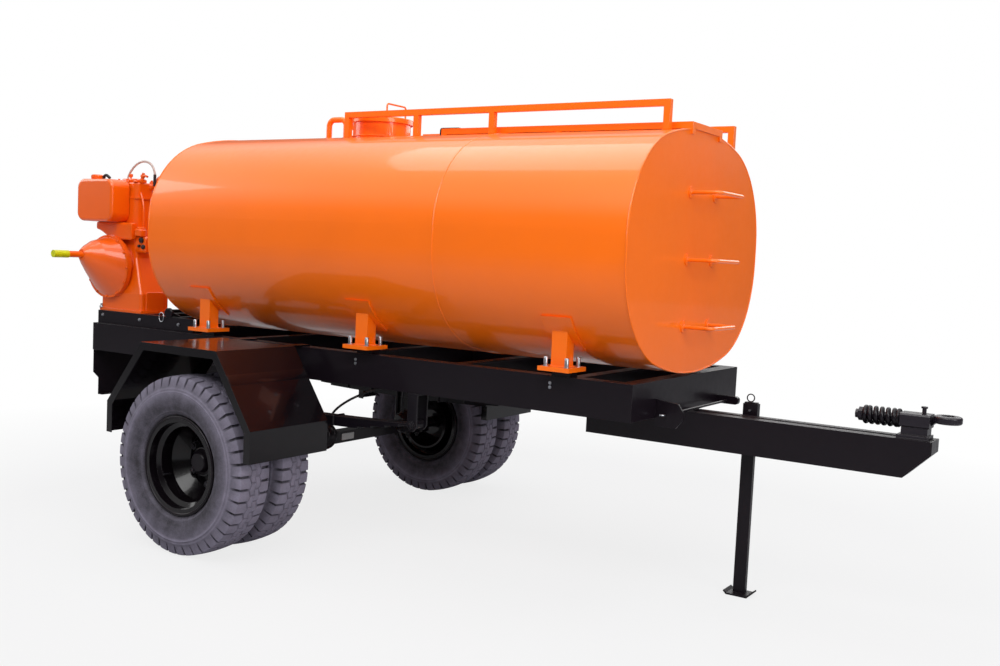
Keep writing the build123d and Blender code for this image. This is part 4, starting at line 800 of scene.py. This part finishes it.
class TRAILER_OT_running_gear(bpy.types.Operator):
    """Makes the spring clips, nuts, brake chambers and pipes."""

    bl_idname = "trailer.running_gear"
    bl_label = "Running gear"

    def execute(self, context):
        clips = []
        nuts = []
        for side in (-1, 1):
            y = side * SPRING_Y
            for x, depth in ((-420, 38), (-240, 47), (240, 47), (420, 38)):
                z1 = float(leaf_top(x)) + 3
                z0 = z1 - depth - 4
                loop = rectangle(74, z1 - z0, 4)
                path = np.concatenate([np.full((len(loop), 1), x), loop + (y, (z0 + z1) / 2)], 1)
                clips.append(tube(path, 4, (1, 0, 0), 8, ring=True))
            low = [(dx * 44, y + dy * 42, 373) for dx in (-1, 1) for dy in (-1, 1)]
            nuts.append(copies(fastener(12, 12, 15, 2.5, 8.1, 9), low, (0, 0, -1)))
            high = [(dx * 44, y + dy * 42, 632) for dx in (-1, 1) for dy in (-1, 1)]
            nuts.append(copies(fastener(12, 11, 15, 2, 8.1, 5), high))
            for x in (-880, 880):
                z = float(leaf_top(880)) - 4.5
                for out in (-1, 1):
                    spot = (x, y + out * 41, z)
                    nuts.append(copies(fastener(15, 10, 19, 2.5, 9, 4), [spot], (0, out, 0)))
        piece("spring_clips", clips, "painted_spring_steel", "chassis")
        piece("spring_nuts", nuts, "painted_spring_steel", "chassis")
        chambers = []
        bands = []
        for side in (-1, 1):
            centre = (150, side * 330, 470)
            body = [(-52, 20), (-50, 44), (-40, 54), (-8, 60), (-4, 66), (4, 66), (8, 60), (36, 56), (46, 46), (50, 20)]
            chambers.append(turned(body, centre, (0.3, side, 0.1), 40))
            chambers.append(pipe([(140, side * 380, 476), (120, side * 430, 470), (90, side * 470, 440)], 8))
            chambers.append(slab(rectangle(90, 60, 8), 8, (60, side * 330, 446), (1, 0, 0), (0, 1, 0)))
            bands.append(tube(wheel_like_ring(centre, 67, (0.3, side, 0.1), 48), 3.2, (0.3, side, 0.1), 8, ring=True))
        piece("brake_chambers", chambers, "chassis_satin_black", "chassis")
        piece("brake_bands", bands, "painted_spring_steel", "chassis")
        lines = []
        for side in (-1, 1):
            lines.append(pipe([(150, side * 300, 520), (160, side * 280, 600), (260, side * 160, 690),
                               (500, side * 60, 760), (1000, side * 40, 792), (1400, side * 30, 800)], 6))
        lines.append(pipe([(1400, 30, 800), (1700, 60, 806), (2000, 84, 700), (2400, 78, 700), (2700, 74, 720)], 6))
        label = slab(rectangle(96, 34, 3), 1.4, (35.2, -17, 415), (0, 1, 0), (0, 0, 1), 0.4)
        piece("axle_bare_plate", [label], "bare_aluminium_plate", "chassis")
        piece("brake_hoses", lines, "black_moulded_rubber", "chassis")
        return {"FINISHED"}


class TRAILER_OT_guard_trim(bpy.types.Operator):
    """Makes the bands and lamp lenses of the guards and rear panel."""

    bl_idname = "trailer.guard_trim"
    bl_label = "Guard trim"

    def execute(self, context):
        bands = []
        down = np.array([464 - 244, 0, 620 - 942.0])
        out = np.array([-down[2], 0, down[0]]) / np.linalg.norm(down)
        for side in (-1, 1):
            start = np.array([244, 0, 942.0])
            for share, wide in ((0.37, 50),):
                spot = start + share * down + 0.3 * out
                path = [spot + (0, side * y, 0) for y in (664, 780, 900, 1020, 1136)]
                bands.append(strip(path, wide, side * 5.0, down / np.linalg.norm(down)))
        piece("guard_bands", bands, "guard_gloss_black", "chassis")
        lenses = []
        ambers = []
        for side in (-1, 1):
            # Lens: a flat plate whose height is a row of cosine ribs
            for inner, store, name in ((-36, lenses, "red"), (36, ambers, "amber")):
                store.append(ribbed_lens(-1409.4, side * (420 + inner), 655, 66, 60))
        piece("lamp_lenses_red", lenses, "red_acrylic_lens", "chassis")
        piece("lamp_lenses_amber", ambers, "amber_acrylic_lens", "chassis")
        return {"FINISHED"}


def ribbed_lens(x, y, z, width, height):
    """Block whose outer face is ribbed: depth 1.6 + 0.8 cos of eight waves over its height."""
    across = np.linspace(-0.5, 0.5, 49)
    depth = 1.6 + 0.8 * np.cos(2 * pi * 8 * across)
    outer = np.stack([x + 0.6 - depth * 0.25, np.zeros(49), z + across * height], -1)
    inner = np.stack([np.full(49, x + 3.0), np.zeros(49), z + across * height], -1)
    loop = np.concatenate([outer, inner[::-1]])
    sections = [loop + (0, y + side * width / 2, 0) for side in (-1, 1)]
    return skin(sections)


# Engine


class TRAILER_OT_engine_fittings(bpy.types.Operator):
    """Makes the engine's bolts, covers, pipes, pump, plates and pulley."""

    bl_idname = "trailer.engine_fittings"
    bl_label = "Engine fittings"

    def execute(self, context):
        orange = []
        head = [(x, y, 1712) for x in (-1296, -1225, -1154) for y in (-470, -364)]
        orange.append(copies(fastener(10, 9, 14, 2.5, 6, 7), head))
        cover = rectangle(120, 84, 16)
        orange.append(slab(cover, 22, (-1232, -417, 1711), (1, 0, 0), (0, 1, 0), 4))
        orange.append(turned([(0, 9), (14, 9), (16, 5), (30, 5), (32, 11), (46, 11), (48, 8)],
                             (-1235, -440, 1712), (0, 0, 1), 24))
        door = rectangle(120, 112, 12)
        orange.append(slab(door, 8, (-1030, -429, 1062), (0, 1, 0), (0, 0, 1), 3))
        orange.append(slab(rectangle(76, 90, 12), 84, (-1128, -448, 1374), (0, 1, 0), (0, 0, 1), 6))
        orange.append(turned([(0, 26), (4, 30), (34, 30), (38, 24), (46, 24), (50, 14)], (-1086, -486, 1420),
                             (0.1, 0, 1), 28))
        orange.append(pipe([(-1084, -470, 1466), (-1080, -470, 1530), (-1096, -466, 1610), (-1136, -452, 1656)], 5))
        orange.append(pipe([(-1138, -380, 1690), (-1104, -380, 1698), (-1080, -380, 1742), (-1034, -380, 1747)],
                           11, (0, 1, 0), 20))
        orange.append(turned([(0, 20), (10, 20), (12, 16)], (-1138, -380, 1690), (1, 0, 0.2), 24))
        orange.append(slab(rectangle(46, 34, 6), 20, (-1150, -440, 1711), (1, 0, 0), (0, 1, 0), 3))
        orange.append(turned([(0, 10), (12, 10), (13, 13), (24, 13), (26, 8), (36, 8)], (-1140, -440, 1730),
                             (0.3, 0, 1), 20))
        orange.append(pipe([(-1142, -440, 1746), (-1120, -440, 1752), (-1096, -440, 1744)], 6))
        piece("engine_fittings", orange, "engine_enamel_on_castings", "chassis")
        ribs = []
        for n in range(12):
            angle = 2 * pi * n / 12
            ribs.append(copies(fastener(6, 5, 8, 1.2), [(-1283 + 163 * cos(angle), -546, 1246 + 163 * sin(angle))],
                               (0, -1, 0)))
        piece("cowl_screws", ribs, "engine_enamel_on_castings", "chassis")
        dark = []
        # The three black plugs on the pump body's near face are its fittings and the painted shade of the dark openings
        # they sit in
        for x, z, radius in ((-1072, 1398, 15), (-1056, 1362, 12), (-1090, 1366, 8)):
            dark.append(turned([(0, 0.8 * radius), (3, radius), (12, radius), (15, 0.7 * radius)], (x, -484, z),
                               (0, -1, 0), 20))
        dark.append(pipe([(-1350, -530, 1719), (-1346, -530, 1740), (-1326, -530, 1748), (-1304, -524, 1730)], 8))
        dark.append(pipe([(-1066, -417, 1694), (-1064.6, -417, 1724), (-1064, -417, 1758)], 8, (0, 1, 0)))
        piece("engine_black_fittings_and_hole_shade", dark, "black_moulded_rubber", "chassis")
        drain = [turned([(0, 22), (4, 27), (14, 27), (18, 22)], (-778, -530, 1023), (0.2, -1, 0), 32)]
        drain.append(pipe([(-778, -470, 1000), (-778, -500, 1014), (-778, -532, 1023)], 9))
        piece("drain_wheel", drain, "chassis_satin_black", "chassis")
        # Hose: the flat ends of its run stand on the head and enter its front face
        run = [(-1289, 1712), (-1289, 1738), (-1278, 1764), (-1228, 1812), (-1162, 1834), (-1094, 1818),
               (-1060, 1764), (-1066, 1700)]
        hose = tube(rounded([(x, -417, z) for x, z in run], 4), 6.0, (0, 1, 0), 16)
        piece("fuel_return_hose", [hose], "clear_pvc_hose", "chassis", ("fuel_hose",))
        piece("fuel_bracket_casting", [bracket_casting()], "engine_enamel_on_castings", "chassis",
              ("fuel_bracket",))
        plates = [slab(rectangle(76, 58, 6), 2.2, (-1404, -600.8, 1622), (-1, 0, 0), (0, 0, 1), 0.6)]
        piece("bare_plates", plates, "engine_enamel_on_castings", "chassis")
        base = [(-1318, -540, 978), (-1009, -540, 972), (-700, -540, 968)]
        nuts = [copies(fastener(7, 5, 9, 1.5), base, (0, -1, 0))]
        feet = [(-1356, -523, 1016)]
        nuts.append(copies(fastener(9, 8, 12, 2, 6, 12), feet))
        nuts.append(tube(wheel_like_ring((-828, -546, 999), 24, (0.2, 1, 0), 40), 2.4, (0.2, 1, 0), 8, ring=True))
        nuts.append(tube(wheel_like_ring((-1289, -417, 1724), 7.6, (0, 0, 1)), 1.6, (0, 0, 1), 8, ring=True))
        piece("engine_zinc_bolts", nuts, "bright_zinc_plate", "chassis")
        cap = [turned([(0, 31), (3, 33), (19, 33), (23, 29), (25, 22)], (-1384, -544.5, 1722), (0, 0, 1), 36)]
        piece("filler_cap", cap, "engine_enamel_on_castings", "chassis")
        return {"FINISHED"}


def bracket_casting():
    """Rounded bracket under the fuel tank.

    Its section is a superellipse, |y|^5 + |z|^5 = 1, deeper towards the cylinder, with a swelling in its side.
    """
    low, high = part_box("fuel_bracket")
    x0, x1 = 1000 * (low.x - AXLE_X), 1000 * (high.x - AXLE_X)
    share = np.linspace(0, 1, 33)[:, None]
    rise = np.clip(share / 0.5, 0, 1)
    rise = rise * rise * (3 - 2 * rise)
    z_low = 1000 * low.z + 52 * (1 - rise)
    z_high = 1000 * high.z
    y_far = 1000 * high.y
    y_near = 1000 * low.y - 12 * np.exp(-((share - 0.62) / 0.2) ** 2)
    t = 2 * pi * np.arange(40)[None, :] / 40
    y = np.sign(np.cos(t)) * np.abs(np.cos(t)) ** 0.4
    z = np.sign(np.sin(t)) * np.abs(np.sin(t)) ** 0.4
    pinch = 1 - 0.12 * (np.abs(2 * share - 1) > 0.97)
    points = np.stack(np.broadcast_arrays(
        x0 + (x1 - x0) * share, (y_near + y_far) / 2 + pinch * y * (y_far - y_near) / 2,
        (z_low + z_high) / 2 + pinch * z * (z_high - z_low) / 2), -1)
    return skin(points)


# Stage


class TRAILER_OT_stage(bpy.types.Operator):
    """Makes the floor, the lights, the world and the camera."""

    bl_idname = "trailer.stage"
    bl_label = "Stage"

    def execute(self, context):
        scene = context.scene
        scene.view_settings.view_transform = "Standard"
        floor_sheet()
        soft_world(scene)
        soft_light("key_softbox", (1.5, -5.0, 6.0), (0.3, 0, 1.2), (6.0, 3.0), 260)
        soft_light("top_softbox", (-0.4, 0.2, 6.5), (-0.4, 0, 1.0), (7.0, 4.0), 200)
        soft_light("rear_softbox", (-6.5, -2.0, 3.5), (-0.5, 0, 1.2), (3.0, 3.0), 90)
        soft_light("left_softbox", (0.5, 6.5, 4.0), (0, 0, 1.2), (5.0, 3.0), 120)
        soft_light("front_softbox", (6.5, -2.2, 3.2), (1.2, 0, 1.4), (3.0, 3.0), 170)
        photo_camera(scene)
        return {"FINISHED"}


def floor_sheet():
    """Wide pale floor, one flat grid of 8 by 8 faces."""
    line = np.linspace(-30, 30, 9)
    x, y = np.meshgrid(line, line, indexing="ij")
    points = np.stack([x, y, np.zeros_like(x)], -1).reshape(-1, 3)
    i, j = np.meshgrid(np.arange(8), np.arange(8), indexing="ij")
    start = (i * 9 + j).ravel()
    faces = np.stack([start, start + 9, start + 10, start + 1], -1)
    mesh = bpy.data.meshes.new("studio_floor")
    mesh.from_pydata(points.tolist(), [], faces.tolist())
    floor = bpy.data.objects.new("studio_floor", mesh)
    bpy.context.scene.collection.objects.link(floor)
    tree, output = new_finish("white_studio_floor")
    matt = add_node(tree, "BsdfDiffuse", {"Color": (0.42, 0.42, 0.43, 1)})
    glow = add_node(tree, "Emission", {"Color": (1, 1, 1, 1), "Strength": 1.0})
    spot = add_node(tree, "TexCoord")
    far = add_node(tree, "VectorMath", {"operation": "LENGTH"}, {0: spot.outputs["Object"]})
    fade = add_node(tree, "MapRange", {"From Min": 2.4, "From Max": 5.0, "To Min": 0.80, "To Max": 1.0},
                    {"Value": far.outputs["Value"]})
    ray = add_node(tree, "LightPath")
    share = add_node(tree, "Math", {"operation": "MULTIPLY"}, {0: ray.outputs["Is Camera Ray"], 1: fade.outputs[0]})
    mix = add_node(tree, "MixShader", links={0: share.outputs[0], 1: matt.outputs[0], 2: glow.outputs[0]})
    tree.links.new(mix.outputs[0], output.inputs[0])
    mesh.materials.append(bpy.data.materials["white_studio_floor"])


def soft_world(scene):
    """Even pale light, and plain white where the camera or a reflection sees it."""
    world = bpy.data.worlds.new("white_studio")
    world.use_nodes = True
    tree = world.node_tree
    tree.nodes.clear()
    light = add_node(tree, "Background", {"Color": (0.95, 0.97, 1.0, 1), "Strength": 0.5})
    white = add_node(tree, "Background", {"Color": (1, 1, 1, 1), "Strength": 1.0})
    # A reflection sees white overhead and a dimmer wall towards the horizon
    way = add_node(tree, "TexCoord")
    height = add_node(tree, "SeparateXYZ", links={0: way.outputs["Generated"]})
    wall = add_node(tree, "MapRange", {"From Min": 0.30, "From Max": 0.55, "To Min": 0.08, "To Max": 1.0},
                    {"Value": height.outputs[2]})
    mirrored = add_node(tree, "Background", {"Color": (1, 1, 1, 1)}, {"Strength": wall.outputs[0]})
    ray = add_node(tree, "LightPath")
    seen = add_node(tree, "Math", {"operation": "MAXIMUM"}, {0: ray.outputs["Is Camera Ray"],
                                                             1: ray.outputs["Is Transmission Ray"]})
    first = add_node(tree, "MixShader", links={0: ray.outputs["Is Glossy Ray"], 1: light.outputs[0],
                                               2: mirrored.outputs[0]})
    mix = add_node(tree, "MixShader", links={0: seen.outputs[0], 1: first.outputs[0], 2: white.outputs[0]})
    output = add_node(tree, "OutputWorld", links={0: mix.outputs[0]})
    scene.world = world
    return output


def soft_light(name, spot, aim, size, power):
    """Rectangular soft light aimed at a point."""
    lamp = bpy.data.lights.new(name, "AREA")
    lamp.shape = "RECTANGLE"
    lamp.size, lamp.size_y = size
    lamp.energy = power
    obj = bpy.data.objects.new(name, lamp)
    obj.location = spot
    obj.rotation_euler = (Vector(aim) - Vector(spot)).to_track_quat("-Z", "Y").to_euler()
    bpy.context.scene.collection.objects.link(obj)


def photo_camera(scene):
    """Camera at the photograph's place: azimuth 32.8, elevation 4.2 and roll 2.7 degrees."""
    azimuth, elevation, roll = radians(32.774), radians(4.179), radians(2.708)
    back = Vector((sin(azimuth) * cos(elevation), -cos(azimuth) * cos(elevation), sin(elevation)))
    right = Vector((cos(azimuth), sin(azimuth), 0))
    up = back.cross(right)
    right_rolled = cos(roll) * right + sin(roll) * up
    up_rolled = -sin(roll) * right + cos(roll) * up
    data = bpy.data.cameras.new("photo_camera")
    data.sensor_width = 36.0
    data.lens = 38.467
    data.clip_end = 200.0
    camera = bpy.data.objects.new("photo_camera", data)
    camera.matrix_world = Matrix.Translation((2.94956, -4.3128, 1.41075)) @ Matrix(
        (right_rolled, up_rolled, back)).transposed().to_4x4()
    scene.collection.objects.link(camera)
    scene.camera = camera


OPERATORS = (TRAILER_OT_finishes, TRAILER_OT_tyres, TRAILER_OT_wheel_fittings, TRAILER_OT_draw_spring,
             TRAILER_OT_coupling_fittings, TRAILER_OT_tank_welds, TRAILER_OT_support_hardware,
             TRAILER_OT_top_fittings, TRAILER_OT_running_gear, TRAILER_OT_guard_trim,
             TRAILER_OT_engine_fittings, TRAILER_OT_stage)


class TRAILER_PT_panel(bpy.types.Panel):
    """Lists the steps that dress the trailer."""

    bl_idname = "TRAILER_PT_panel"
    bl_label = "Tank Trailer"
    bl_space_type = "VIEW_3D"
    bl_region_type = "UI"
    bl_category = "Tank Trailer"

    def draw(self, context):
        layout = self.layout
        for group in (context.scene.trailer_sizes, context.scene.trailer_colours):
            box = layout.box()
            for name in group.__annotations__:
                box.prop(group, name)
        for operator in OPERATORS:
            layout.operator(operator.bl_idname)


CLASSES = (TrailerSizes, TrailerColours) + OPERATORS + (TRAILER_PT_panel,)


def register():
    """Adds the classes and their settings."""
    for cls in CLASSES:
        bpy.utils.register_class(cls)
    bpy.types.Scene.trailer_sizes = PointerProperty(type=TrailerSizes)
    bpy.types.Scene.trailer_colours = PointerProperty(type=TrailerColours)


def unregister():
    """Removes them."""
    del bpy.types.Scene.trailer_colours
    del bpy.types.Scene.trailer_sizes
    for cls in reversed(CLASSES):
        bpy.utils.unregister_class(cls)


def main():
    """Dresses the trailer."""
    register()
    for operator in OPERATORS:
        group, name = operator.bl_idname.split(".")
        getattr(getattr(bpy.ops, group), name)()
    bpy.context.view_layer.update()


if __name__ == "__main__":
    main()
